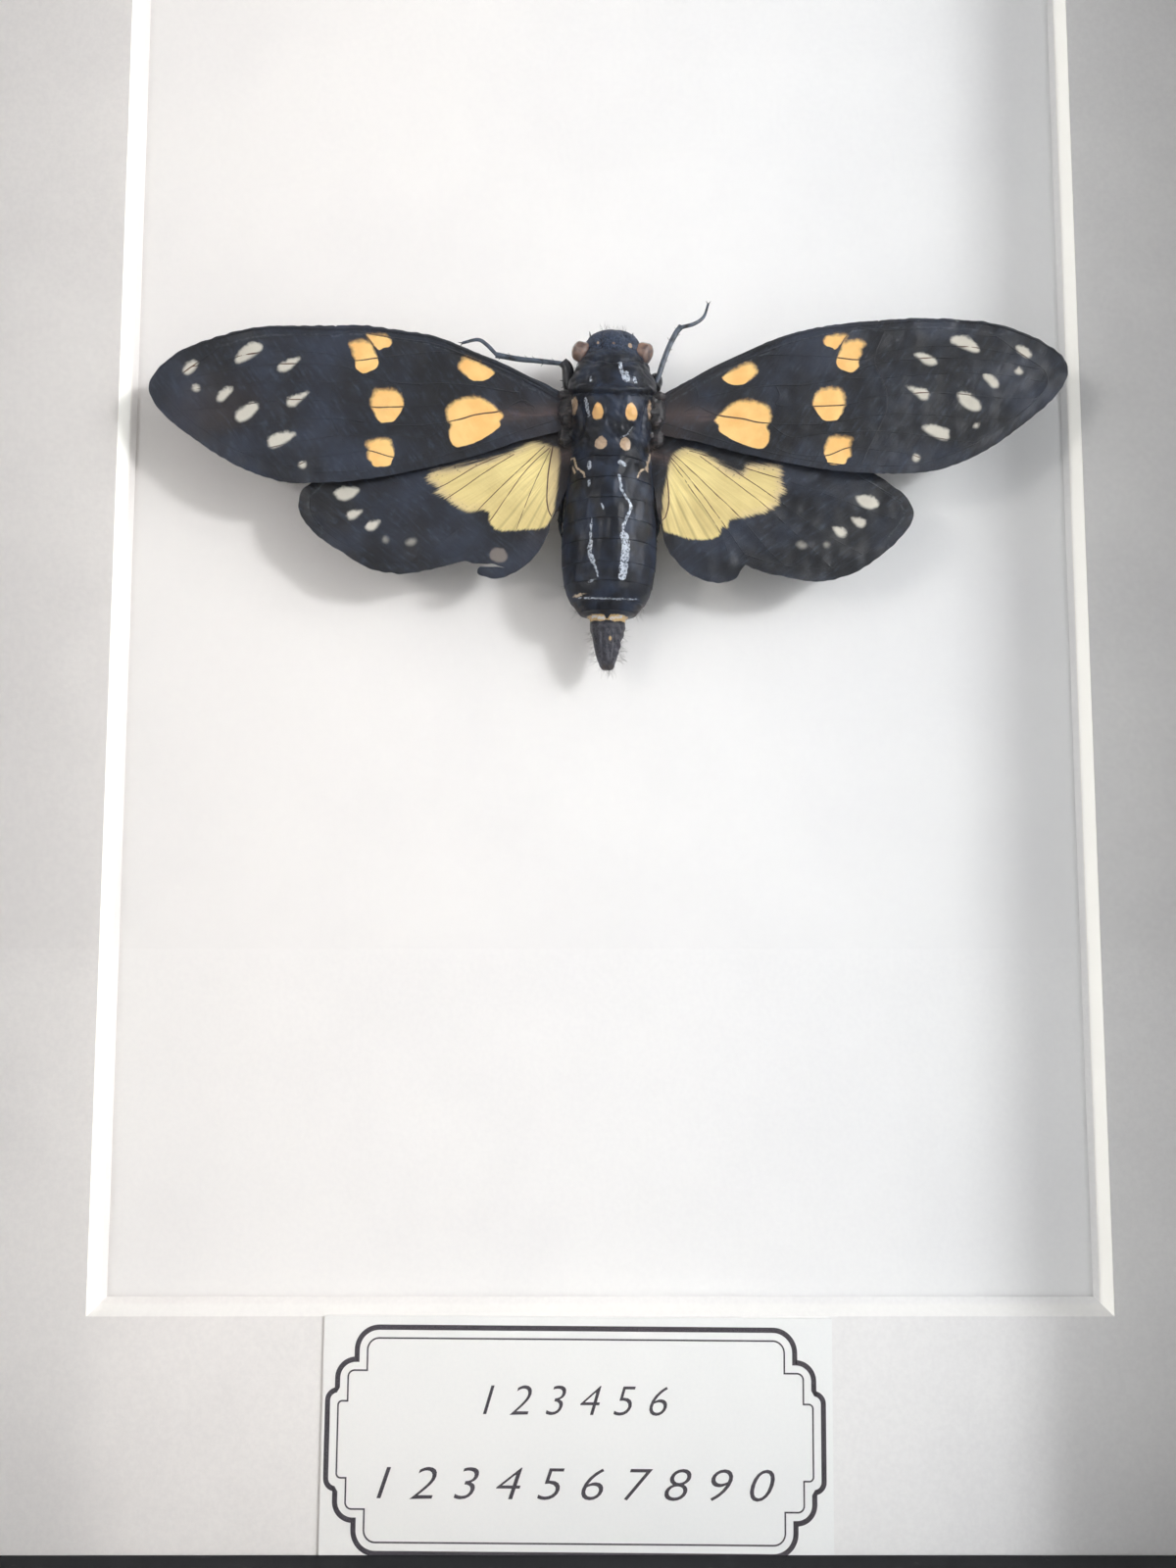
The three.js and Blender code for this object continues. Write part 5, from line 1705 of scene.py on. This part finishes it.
@dataclass
class Wing:
    """One wing as a thin closed skin with its veins standing out."""

    plan: WingPlan
    setting: Setting
    gap: float = 0.24
    half_thickness: float = 0.03
    vein_sides: int = 8
    vein_scale: float = 0.8
    vein_sink: float = 0.35
    bend_height: float = 0.35
    groove_depth: float = 0.06
    pleat_height: float = 0.11
    soft_way: Pair = (0.35, 0.94)

    def margin(self) -> np.ndarray:
        """Spaces the outline's points evenly and nicks it a little.

        Returns:
            The points, two numbers in each row.
        """
        line = curve_through(self.plan.outline, 8, closed=True)
        ring = np.vstack([line, line[:1]])
        along = np.append(0, np.cumsum(np.linalg.norm(np.diff(ring, axis=0), axis=1)))
        places = np.linspace(0, along[-1], int(along[-1] / self.gap) + 1)[:-1]
        even = np.column_stack([np.interp(places, along, ring[:, axis]) for axis in (0, 1)])
        nick = 0.03 * relief(even[:, 0], even[:, 1], 1.1, self.plan.seed)
        turned = np.roll(even, -1, axis=0) - np.roll(even, 1, axis=0)
        normals = np.column_stack([turned[:, 1], -turned[:, 0]])
        normals /= np.linalg.norm(normals, axis=1)[:, None]
        return even + normals * nick[:, None]

    def grid(self, margin: np.ndarray) -> np.ndarray:
        """Fills an outline with evenly staggered points.

        Args:
            margin: The outline.

        Returns:
            The points inside it.
        """
        low, high = margin.min(axis=0), margin.max(axis=0)
        rows = np.arange(low[1], high[1], self.gap * 0.866)
        filled = []
        for number, row in enumerate(rows):
            across = np.arange(low[0] + (number % 2) * self.gap / 2, high[0], self.gap)
            filled.append(np.column_stack([across, np.full(len(across), row)]))
        places = np.vstack(filled)
        return places[depth_inside(places, margin) > self.gap * 0.45]

    def vein_lines(self) -> list[np.ndarray]:
        """Draws the veins, moved with the coloured areas except at the rim.

        Returns:
            One line of points for each vein.
        """
        rim = curve_through(self.plan.outline, 3, closed=True)
        lines = []
        for _, _, points in self.plan.veins:
            line = curve_through(points, 6)
            inner = np.clip((depth_inside(line, rim) - 0.5) / 1.2, 0, 1)
            inner *= np.clip(line[:, 0] / 5, 0, 1)
            lines.append(line + inner[:, None] * np.array(self.plan.marks_shift))
        return lines

    def height(self, places: np.ndarray) -> np.ndarray:
        """Gives how far the skin stands towards the glass at each place.

        Args:
            places: Places along and across the wing.

        Returns:
            One height for each place.
        """
        along, ahead = places.T
        seed = self.plan.seed
        bend = self.bend_height * np.sin(np.clip(along / self.plan.length, 0, 1) * math.pi)
        wave = 0.1 * relief(along, ahead, 7.0, seed + 1) + 0.035 * relief(along, ahead, 2.2, seed + 2)
        grooves = np.full(len(places), 1.0)
        for line in self.vein_lines():
            grooves = np.minimum(grooves, distance_to_line(places, line))
        total = bend + wave - self.groove_depth * np.clip(grooves / 0.8, 0, 1) ** 0.7
        if self.plan.anal_line:
            turn = np.degrees(np.arctan2(ahead - 1.0, along + 0.5))
            reach = np.hypot(along, ahead)
            rear = np.clip((-38 - turn) / 10, 0, 1) * np.clip((reach - 3) / 3, 0, 1)
            total += self.pleat_height * rear * np.abs((turn / 5.5) % 2 - 1)
        return total

    def values(self, places: np.ndarray, margin: np.ndarray) -> dict[str, np.ndarray]:
        """Gives the depths inside the coloured areas and the other point values.

        Args:
            places: Places along and across the wing.
            margin: The wing's outline; not used.

        Returns:
            The values by name.
        """
        found: dict[str, np.ndarray] = {}
        nearest = np.full(len(places), -99.0)
        softness = np.zeros(len(places))
        for kind in ("orange", "cream", "haze", "fan", "window"):
            found[kind] = np.full(len(places), -9.0)
            for outline in self.plan.areas.get(kind, ()):
                line = curve_through(outline, 3, closed=True) + np.array(self.plan.marks_shift)
                line[:, 1] += self.plan.tip_marks_lift * np.clip((line[:, 0].mean() - 29) / 5, 0, 1)
                depth = depth_inside(places, line)
                away = places - line.mean(axis=0)
                facing = away @ np.array(self.soft_way) / np.maximum(np.linalg.norm(away, axis=1), 0.2)
                softness = np.where(depth > nearest, np.clip(0.45 + 0.6 * facing, 0, 1), softness)
                nearest = np.maximum(nearest, depth)
                found[kind] = np.maximum(found[kind], depth)
        along, ahead = places.T
        turn = np.degrees(np.arctan2(ahead - 1.0, along + 2.0))
        reach = np.hypot(along, ahead)
        side_shift = np.full(len(places), 10.0 * self.plan.side.value + self.plan.seed)
        warm = np.hypot(along - self.plan.warm_middle[0], ahead - self.plan.warm_middle[1])
        found["softness"] = softness
        found["wing_place"] = np.column_stack([along, ahead, side_shift])
        found["fan_place"] = np.column_stack([turn * 0.75, reach * 0.16, side_shift])
        found["warmth"] = np.maximum(np.clip(1.3 - warm / 6, 0, 1), np.clip(1.2 - along / 6, 0, 1))
        strand = np.exp(-(((ahead + 1.1 + 0.13 * along) / 0.75) ** 2))
        found["root"] = strand * np.clip((8.5 - along) / 4, 0, 1)
        found["turn"] = turn
        found["front_gap"] = distance_to_line(places, curve_through(self.plan.outline[1:12], 4))
        found["lobe"] = np.zeros(len(places))
        if self.plan.anal_line:
            line = curve_through(self.plan.anal_line, 5)[::-1]
            edge = np.interp(ahead, line[:, 1], line[:, 0])
            found["lobe"] = np.clip((edge - along) / 0.25 + 0.5, 0, 1)
        return found

    def place(self, places: np.ndarray, heights: np.ndarray) -> np.ndarray:
        """Sets points of the wing on the body.

        Args:
            places: Places along and across the wing.
            heights: How far each stands towards the glass.

        Returns:
            The points in the object's frame.
        """
        plan = self.plan
        side = plan.side.value
        x = side * places[:, 0] * plan.scale
        z = places[:, 1] * plan.scale * np.where(places[:, 1] > 0, plan.front_scale, 1.0)
        slope = -side * math.atan2(plan.tip_height - plan.root[1], plan.length)
        rise = -side * math.radians(plan.rise_deg)
        tilted_x = x * math.cos(slope) + heights * math.sin(slope)
        tilted_y = x * math.sin(slope) - heights * math.cos(slope)
        turned_x = tilted_x * math.cos(rise) + z * math.sin(rise)
        turned_z = z * math.cos(rise) - tilted_x * math.sin(rise)
        base_z = self.setting.tail_z + plan.root[2]
        return np.column_stack(
            [
                turned_x + plan.root[0] + self.setting.middle_x,
                tilted_y - plan.root[1] + self.setting.board_y,
                turned_z + base_z,
            ]
        )

    def add_skin(self, shape: Shape, margin: np.ndarray) -> None:
        """Adds the closed thin skin.

        Args:
            shape: The mesh that it is added to.
            margin: The wing's outline.
        """
        given = [Vector(point) for point in np.vstack([margin, self.grid(margin)])]
        ring = [(index, (index + 1) % len(margin)) for index in range(len(margin))]
        found, _, faces, *_ = delaunay_2d_cdt(given, ring, [], 1, 1e-5)
        places = np.array([tuple(point) for point in found])
        count = len(places)
        edges = dict.fromkeys(edge for face in faces for edge in zip(face, [*face[1:], face[0]]))
        rim = [edge for edge in edges if edge[::-1] not in edges]
        middle = self.height(places)
        values = self.values(places, margin)
        front = self.place(places, middle + self.half_thickness)
        back = self.place(places, middle - self.half_thickness)
        flip = self.plan.side is Side.RIGHT
        sheets = [tuple(face) if flip else tuple(face[::-1]) for face in faces]
        sheets += [tuple(count + index for index in face[::-1]) for face in sheets]
        for start, end in rim:
            wall = (start, count + start, count + end, end)
            sheets.append(wall if flip else wall[::-1])
        doubled = {name: np.concatenate([value, value]) for name, value in values.items()}
        shape.add(np.vstack([front, back]), sheets, **doubled)

    def add_veins(self, shape: Shape, margin: np.ndarray) -> None:
        """Adds the veins as fine tubes that stand out of the skin.

        Args:
            shape: The mesh that they are added to.
            margin: The wing's outline.
        """
        for (radius, tip, _), line in zip(self.plan.veins, self.vein_lines()):
            depth = depth_inside(line, margin)
            line = line[depth > -0.1]
            radii = radius * np.linspace(1, tip, len(line)) * self.vein_scale
            heights = self.height(line) - radii * self.vein_sink
            tube, faces = swept(self.place(line, heights), radii, self.vein_sides)
            owners = np.append(np.repeat(np.arange(len(line)), self.vein_sides), [0, len(line) - 1])
            values = {name: value[owners] for name, value in self.values(line, margin).items()}
            shape.add(tube, faces, rib=1.0, **values)

    def build(self, finish: bpy.types.Material) -> bpy.types.Object:
        """Makes the wing's object.

        Args:
            finish: Its material.

        Returns:
            The object.
        """
        shape = Shape()
        margin = self.margin()
        self.add_skin(shape, margin)
        self.add_veins(shape, margin)
        return shape.build(self.plan.name, finish, 40)


def wing_plans() -> list[WingPlan]:
    """Gives the plans of the wings.

    Returns:
        The four plans.
    """
    fore = {"length": 40.6, "outline": FORE_OUTLINE, "areas": FORE_AREAS, "veins": FORE_VEINS}
    left_areas = {**HIND_AREAS, "fan": (LEFT_FAN,)}
    left_areas["window"] = (((9.4, -9.3), (8.6, -8.6), (7.7, -9.2), (7.8, -10.0), (8.6, -10.1)),)
    right_areas = {**HIND_AREAS, "fan": (RIGHT_FAN,)}
    left_anal, right_anal = LEFT_HIND_VEINS[6][2], RIGHT_HIND_VEINS[7][2]
    dot = ((31.0, -4.6), (31.3, -4.2), (31.7, -4.1), (31.5, -4.7))
    right_fore = {**FORE_AREAS, "cream": (*FORE_AREAS["cream"], dot)}
    return [
        WingPlan("forewing_left", Side.LEFT, root=(-5.1, 6.0, 26.6), rise_deg=2.0, scale=1.01,
                 tip_height=5.5, marks_shift=(-0.2, -0.35), warm_middle=(33.0, -5.0), seed=31, **fore),
        WingPlan("forewing_right", Side.RIGHT, root=(4.7, 6.0, 26.15), rise_deg=4.2, scale=0.99,
                 tip_height=7.2, marks_shift=(-0.35, -0.7), tip_marks_lift=0.5, front_scale=0.965,
                 seed=41, **{**fore, "areas": right_fore}),
        WingPlan("hindwing_left", Side.LEFT, 26.4, LEFT_HIND_OUTLINE, left_areas, LEFT_HIND_VEINS,
                 (-4.8, 5.3, 22.2), -12.4, 1.02, 4.9, left_anal, seed=51),
        WingPlan("hindwing_right", Side.RIGHT, 26.4, RIGHT_HIND_OUTLINE, right_areas, RIGHT_HIND_VEINS,
                 (4.8, 5.3, 22.2), -16.2, 0.98, 5.9, right_anal, seed=61),
    ]


@dataclass
class Hinges:
    """The furry plates and stubs that join the wings to the thorax."""

    setting: Setting
    lumps: Sequence[tuple[Triple, Triple]] = (
        ((4.2, 5.9, 25.4), (1.2, 0.8, 1.9)),
        ((4.5, 6.3, 26.8), (0.9, 0.5, 0.5)),
        ((4.3, 6.2, 24.4), (0.7, 0.6, 0.8)),
        ((4.5, 5.6, 22.9), (0.8, 0.6, 1.1)),
    )
    stubs: Sequence[tuple[Triple, Sequence[Triple]]] = (
        ((0.7, 0.55, 0.3), ((3.6, 6.3, 26.3), (4.5, 5.9, 26.4), (5.3, 5.1, 26.6))),
        ((0.7, 0.6, 0.4), ((3.6, 6.2, 25.2), (4.6, 5.9, 25.1), (5.6, 5.1, 24.9))),
        ((0.6, 0.45, 0.3), ((3.6, 6.1, 24.2), (4.6, 5.7, 23.9), (5.3, 4.9, 23.5))),
        ((0.6, 0.45, 0.3), ((3.6, 5.8, 23.2), (4.3, 5.5, 22.8), (4.9, 4.7, 22.1))),
    )

    def build(self, finish: bpy.types.Material) -> bpy.types.Object:
        """Makes the hinges' object.

        Args:
            finish: Its material.

        Returns:
            The object.
        """
        shape = Shape()
        for side in Side:
            way = side.value
            for number, (centre, radii) in enumerate(self.lumps):

                def crumple(ball: np.ndarray) -> np.ndarray:
                    """Dents the lump unevenly."""
                    dents = relief(ball[:, 0] * 2, ball[:, 1] * 2 + ball[:, 2] * 2, 1.2, 70 + number * 2 + way)
                    return ball * (1 + 0.05 * dents)[:, None]

                points, faces = egg((way * centre[0], *centre[1:]), radii, 24, 32, crumple)
                shape.add(self.setting.place(points), faces)
            for radii, points in self.stubs:
                line = self.setting.place(curve_through(points, 8) * np.array([way, 1, 1]))
                spread = np.interp(np.linspace(0, 1, len(line)), [0, 0.5, 1], radii)
                tube, faces = swept(line, spread, 14)
                shape.add(tube, faces)
        return shape.build("cicada_hinges", finish)


@dataclass(frozen=True)
class Tuft:
    """A patch of hairs: where they start, which way they point, and how long they are."""

    count: int
    low: Triple
    high: Triple
    way: Triple
    spread: float
    length: Pair
    both_sides: bool = True


@dataclass
class Hairs:
    """The fine hairs of head, thorax, sides and tail."""

    setting: Setting
    base_radius: float = 0.011
    sag: float = 0.12
    seed: int = 9
    tufts: Sequence[Tuft] = (
        Tuft(60, (2.2, 4.2, 5.4), (3.1, 5.6, 6.5), (0.8, 0.3, -0.9), 0.5, (0.6, 1.3)),
        Tuft(70, (1.0, 3.2, 0.6), (1.6, 4.4, 4.2), (1.0, 0.2, -0.6), 0.6, (0.5, 1.1)),
        Tuft(90, (-0.6, 2.9, 0.05), (0.6, 3.9, 0.7), (0.0, 0.3, -1.0), 0.6, (0.5, 1.3), False),
        Tuft(120, (3.9, 3.2, 8.0), (4.4, 5.0, 20.0), (1.0, 0.4, -0.5), 0.4, (0.3, 0.6)),
        Tuft(90, (-1.3, 5.4, 33.2), (1.3, 6.4, 34.0), (0.0, 0.6, 0.9), 0.5, (0.25, 0.55), False),
        Tuft(90, (3.5, 7.0, 22.4), (4.3, 8.0, 26.6), (0.7, 0.6, -0.3), 0.7, (0.35, 0.8)),
        Tuft(60, (3.4, 6.2, 20.6), (4.2, 7.2, 22.4), (0.7, 0.5, -0.8), 0.6, (0.4, 0.9)),
        Tuft(40, (2.3, 6.0, 29.4), (3.2, 7.2, 31.0), (0.7, 0.7, 0.3), 0.6, (0.25, 0.5)),
    )

    def build(self, finish: bpy.types.Material) -> bpy.types.Object:
        """Makes all hairs as one object.

        Args:
            finish: Its material.

        Returns:
            The object.
        """
        chance = np.random.default_rng(self.seed)
        shape = Shape()
        for tuft in self.tufts:
            for side in Side if tuft.both_sides else (Side.RIGHT,):
                mirrored = np.array([side.value, 1, 1])
                for _ in range(tuft.count):
                    base = chance.uniform(tuft.low, tuft.high) * mirrored
                    way = (np.array(tuft.way) + chance.normal(0, tuft.spread, 3)) * mirrored
                    way *= chance.uniform(*tuft.length) / np.linalg.norm(way)
                    sag = chance.normal(0, self.sag, 3) * np.linalg.norm(way)
                    local = np.array([base - way * 0.3, base + way * 0.4 + sag, base + way])
                    radii = np.array([1.0, 0.7, 0.25]) * self.base_radius
                    points, faces = swept(self.setting.place(local), radii, 3)
                    shape.add(points, faces)
        return shape.build("cicada_hairs", finish)


# The card's printing


@dataclass
class CardPrint:
    """The stepped border of two lines and two rows of slanted digits on the card."""

    centre: Pair = (-2.39, 24.26)
    card_tilt_deg: float = 0.45
    film: float = 0.015
    walls: Sequence[float] = (20.91, 22.71, 23.61)
    levels: Sequence[float] = (10.29, 7.31, 4.5)
    thick_radii: Sequence[float] = (2.1, 1.7, 0.95)
    thick_width: float = 0.48
    thin_inset: float = 1.0
    thin_radii: Sequence[float] = (1.1, 0.6, 0.4)
    thin_width: float = 0.15
    digit_slant: float = 0.28
    digit_thinning: float = 0.012
    rows: Sequence[tuple[str, Pair, Pair]] = (
        ("1 2 3 4 5 6", (-2.39, 27.95), (17.6, 2.7)),
        ("1 2 3 4 5 6 7 8 9 0", (-2.29, 20.35), (37.7, 2.9)),
    )

    def quarter(self, inset: float, radii: Sequence[float]) -> list[Pair]:
        """Gives the border's upper right quarter, from the top round to the side.

        Args:
            inset: How far it is inside the outermost line.
            radii: The radii of its outward corners.

        Returns:
            Its points from the border's centre.
        """
        path: list[Pair] = []
        for wall, level, radius in zip(self.walls, self.levels, radii):
            x, z = wall - inset, level - inset
            if path:
                path.append((path[-1][0], z))
            for turn in np.radians(np.linspace(90, 0, 13)):
                path.append((x - radius + radius * math.cos(turn), z - radius + radius * math.sin(turn)))
        return path

    def add_band(self, shape: Shape, inset: float, radii: Sequence[float], width: float) -> None:
        """Adds one closed line of the border.

        Args:
            shape: The mesh that it is added to.
            inset: How far it is inside the outermost line.
            radii: The radii of its outward corners.
            width: The line's width.
        """
        part = self.quarter(inset, radii)
        right = part + [(x, -z) for x, z in part[::-1]]
        path = np.array(right + [(-x, z) for x, z in right[::-1]])
        ahead = np.roll(path, -1, axis=0) - path
        ahead /= np.maximum(np.linalg.norm(ahead, axis=1), 1e-9)[:, None]
        normals = np.column_stack([ahead[:, 1], -ahead[:, 0]])
        before = np.roll(normals, 1, axis=0)
        joined = normals + before
        joined /= np.maximum((joined * normals).sum(axis=1), 0.3)[:, None]
        count = len(path)
        flat = np.vstack([path + joined * width / 2, path - joined * width / 2])
        front, back = self.on_card(flat, self.film), self.on_card(flat, -self.film)
        faces = []
        for index in range(count):
            after = (index + 1) % count
            outer, inner = (index, after), (count + index, count + after)
            outer_back, inner_back = ((2 * count + a, 2 * count + b) for a, b in (outer, inner))
            faces.append((outer[0], outer[1], inner[1], inner[0]))
            faces.append((outer_back[1], outer_back[0], inner_back[0], inner_back[1]))
            faces.append((outer[1], outer[0], outer_back[0], outer_back[1]))
            faces.append((inner[0], inner[1], inner_back[1], inner_back[0]))
        shape.add(np.vstack([front, back]), faces)

    def on_card(self, places: np.ndarray, proud: float) -> np.ndarray:
        """Puts places from the border's centre on the card's front.

        Args:
            places: Places across and up from the centre.
            proud: How far they stand out of the card.

        Returns:
            The points in the object's frame.
        """
        front = corner("label_card")[0][1]
        turn = math.radians(self.card_tilt_deg)
        x = places[:, 0] * math.cos(turn) + places[:, 1] * math.sin(turn)
        z = places[:, 1] * math.cos(turn) - places[:, 0] * math.sin(turn)
        return np.column_stack([x + self.centre[0], np.full(len(places), front - proud), z + self.centre[1]])

    def add_row(self, shape: Shape, text: str, middle: Pair, size: Pair) -> None:
        """Adds one row of digits, fitted to its size.

        Args:
            shape: The mesh that it is added to.
            text: The digits.
            middle: The row's middle in the object's frame.
            size: Its width and height.
        """
        curve = bpy.data.curves.new("digits", "FONT")
        curve.body = text
        curve.shear = self.digit_slant
        curve.extrude = 0.01
        curve.offset = -self.digit_thinning
        curve.resolution_u = 4
        holder = bpy.data.objects.new("digits", curve)
        mesh = bpy.data.meshes.new_from_object(holder)
        points = np.empty(len(mesh.vertices) * 3, np.float32)
        mesh.vertices.foreach_get("co", points)
        points = points.reshape(-1, 3).astype(float)
        low, high = points.min(axis=0), points.max(axis=0)
        flat = (points[:, :2] - (low[:2] + high[:2]) / 2) / (high[:2] - low[:2]) * np.array(size)
        flat += np.array(middle) - np.array(self.centre)
        placed = self.on_card(flat, 0.0)
        placed[:, 1] -= np.where(points[:, 2] > 0, self.film, -self.film)
        shape.add(placed, [tuple(face.vertices) for face in mesh.polygons])
        bpy.data.objects.remove(holder)
        bpy.data.curves.remove(curve)
        bpy.data.meshes.remove(mesh)

    def build(self, finish: bpy.types.Material) -> bpy.types.Object:
        """Makes the printing as one thin object.

        Args:
            finish: Its material.

        Returns:
            The object.
        """
        shape = Shape()
        self.add_band(shape, 0.0, self.thick_radii, self.thick_width)
        self.add_band(shape, self.thin_inset, self.thin_radii, self.thin_width)
        for text, middle, size in self.rows:
            self.add_row(shape, text, middle, size)
        return shape.build("label_print", finish, 20)


# The studio


@dataclass(frozen=True)
class SoftLight:
    """One square soft light aimed at the middle of the window."""

    name: str
    place: Triple
    watts: float
    width: float
    colour: Colour = (1.0, 1.0, 1.0)
    target: Triple = (0.0, 0.01, 0.11)

    def build(self) -> None:
        """Adds the light."""
        light = bpy.data.lights.new(self.name, "AREA")
        light.energy = self.watts
        light.size = self.width
        light.color = self.colour
        lamp = bpy.data.objects.new(self.name, light)
        lamp.location = self.place
        aim = Vector(self.target) - Vector(self.place)
        lamp.rotation_euler = aim.to_track_quat("-Z", "Y").to_euler()
        bpy.context.scene.collection.objects.link(lamp)


@dataclass
class Studio:
    """The camera, lights, surroundings and floor."""

    lights: Sequence[SoftLight] = (
        SoftLight("key_right", (0.70, -0.585, 0.32), 3.25, 0.10, (0.98, 0.99, 1.0)),
        SoftLight("fill_left", (-0.60, -0.63, 0.20), 0.7, 0.08, (1.0, 0.96, 0.92)),
    )
    sky: Colour = (0.99, 0.99, 1.0)
    sky_strength: float = 0.79
    dim_from: float = 0.66
    dim_to: float = 0.92
    dim_share: float = 0.26
    camera_place: Triple = (-0.00117, -0.1085, 0.0767)
    camera_pitch_deg: float = 95.0
    lens: float = 27.0
    sensor_height: float = 36.0
    nearest_view: float = 0.005
    floor_half: float = 1.4

    def build(self) -> None:
        """Adds everything round the object."""
        self.add_camera()
        self.add_world()
        for light in self.lights:
            light.build()
        self.add_floor()

    def add_camera(self) -> None:
        """Adds the camera at the photograph's viewing place."""
        lens = bpy.data.cameras.new("camera")
        lens.lens = self.lens
        lens.sensor_fit = "VERTICAL"
        lens.sensor_height = self.sensor_height
        lens.clip_start = self.nearest_view
        camera = bpy.data.objects.new("camera", lens)
        camera.location = self.camera_place
        camera.rotation_euler = (math.radians(self.camera_pitch_deg), 0, 0)
        bpy.context.scene.collection.objects.link(camera)
        bpy.context.scene.camera = camera
        bpy.context.scene.view_settings.view_transform = "Standard"

    def add_world(self) -> None:
        """Adds the pale surroundings, dim on the viewer's side as behind a camera."""
        world = bpy.data.worlds.new("surroundings")
        sheet = Sheet(world)
        _, ahead, _ = sheet.axes(sheet.way)
        dim = (ahead * -1).step(self.dim_from, self.dim_to)
        inputs = {"Color": self.sky, "Strength": self.sky_strength * (1 - dim * (1 - self.dim_share))}
        back = sheet.node("ShaderNodeBackground", inputs=inputs)
        end = sheet.tree.nodes.new("ShaderNodeOutputWorld")
        sheet.tree.links.new(back.socket, end.inputs["Surface"])
        bpy.context.scene.world = world

    def add_floor(self) -> None:
        """Adds the floor that the box stands on."""
        half = self.floor_half
        mesh = bpy.data.meshes.new("studio_floor")
        low = CAD_BOX[0][2]
        corners = [(-half, -half, low), (half, -half, low), (half, half, low), (-half, half, low)]
        mesh.from_pydata(corners, [], [(0, 1, 2, 3)])
        mesh.materials.append(StudioFloor().material())
        floor = bpy.data.objects.new("studio_floor", mesh)
        bpy.context.scene.collection.objects.link(floor)


def dress_nodes() -> None:
    """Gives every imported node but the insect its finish."""
    paper = Paper("label_card", tone(250, 251, 249), tone(244, 246, 245), 0.012, 3.0)
    mount = Paper("mount_paper", tone(247, 247, 246), tone(241, 241, 241), 0.015, 2.0)
    finishes = {
        "frame_rail": Lacquer().material(),
        "liner": BlackPaper().material(),
        "glass": ClearGlass().material(),
        "mat_board": MatPaper().material(),
        "mount_board": mount.material(),
        "label_card": paper.material(),
        "back_panel": Fibreboard().material(),
        "tab": PlatedSteel().material(),
        "hanger": PlatedSteel("hanger_steel").material(),
    }
    for name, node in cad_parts.items():
        for start, finish in finishes.items():
            if name.startswith(start):
                node.data.materials.clear()
                node.data.materials.append(finish)
    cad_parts["glass_pane"].visible_shadow = False


def report(piece: bpy.types.Object, replaced: str | None) -> None:
    """Hands one piece to the frame and logs its size.

    Args:
        piece: The object.
        replaced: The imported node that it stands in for, if any.
    """
    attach(piece, "root")
    if replaced:
        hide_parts(replaced)
    triangles = sum(len(face.vertices) - 2 for face in piece.data.polygons)
    LOG.info("%s: %d points, %d triangles", piece.name, len(piece.data.vertices), triangles)


def main() -> None:
    """Builds the picture."""
    logging.basicConfig(level=logging.INFO, format="%(message)s")
    dress_nodes()
    setting = Setting()
    membrane = Membrane().material()
    pieces = [Wing(plan, setting).build(membrane) for plan in wing_plans()]
    pieces.append(Body(setting).build(Chitin().material()))
    pieces.append(Eyes(setting).build(EyeHorn().material()))
    pieces.append(Legs(setting).build(LegHorn().material()))
    pieces.append(Hinges(setting).build(HingeHorn().material()))
    pieces.append(Hairs(setting).build(Bristle().material()))
    for piece in pieces:
        report(piece, "cicada")
    report(CardPrint().build(Ink().material()), None)
    Studio().build()


if __name__ == "__main__":
    main()
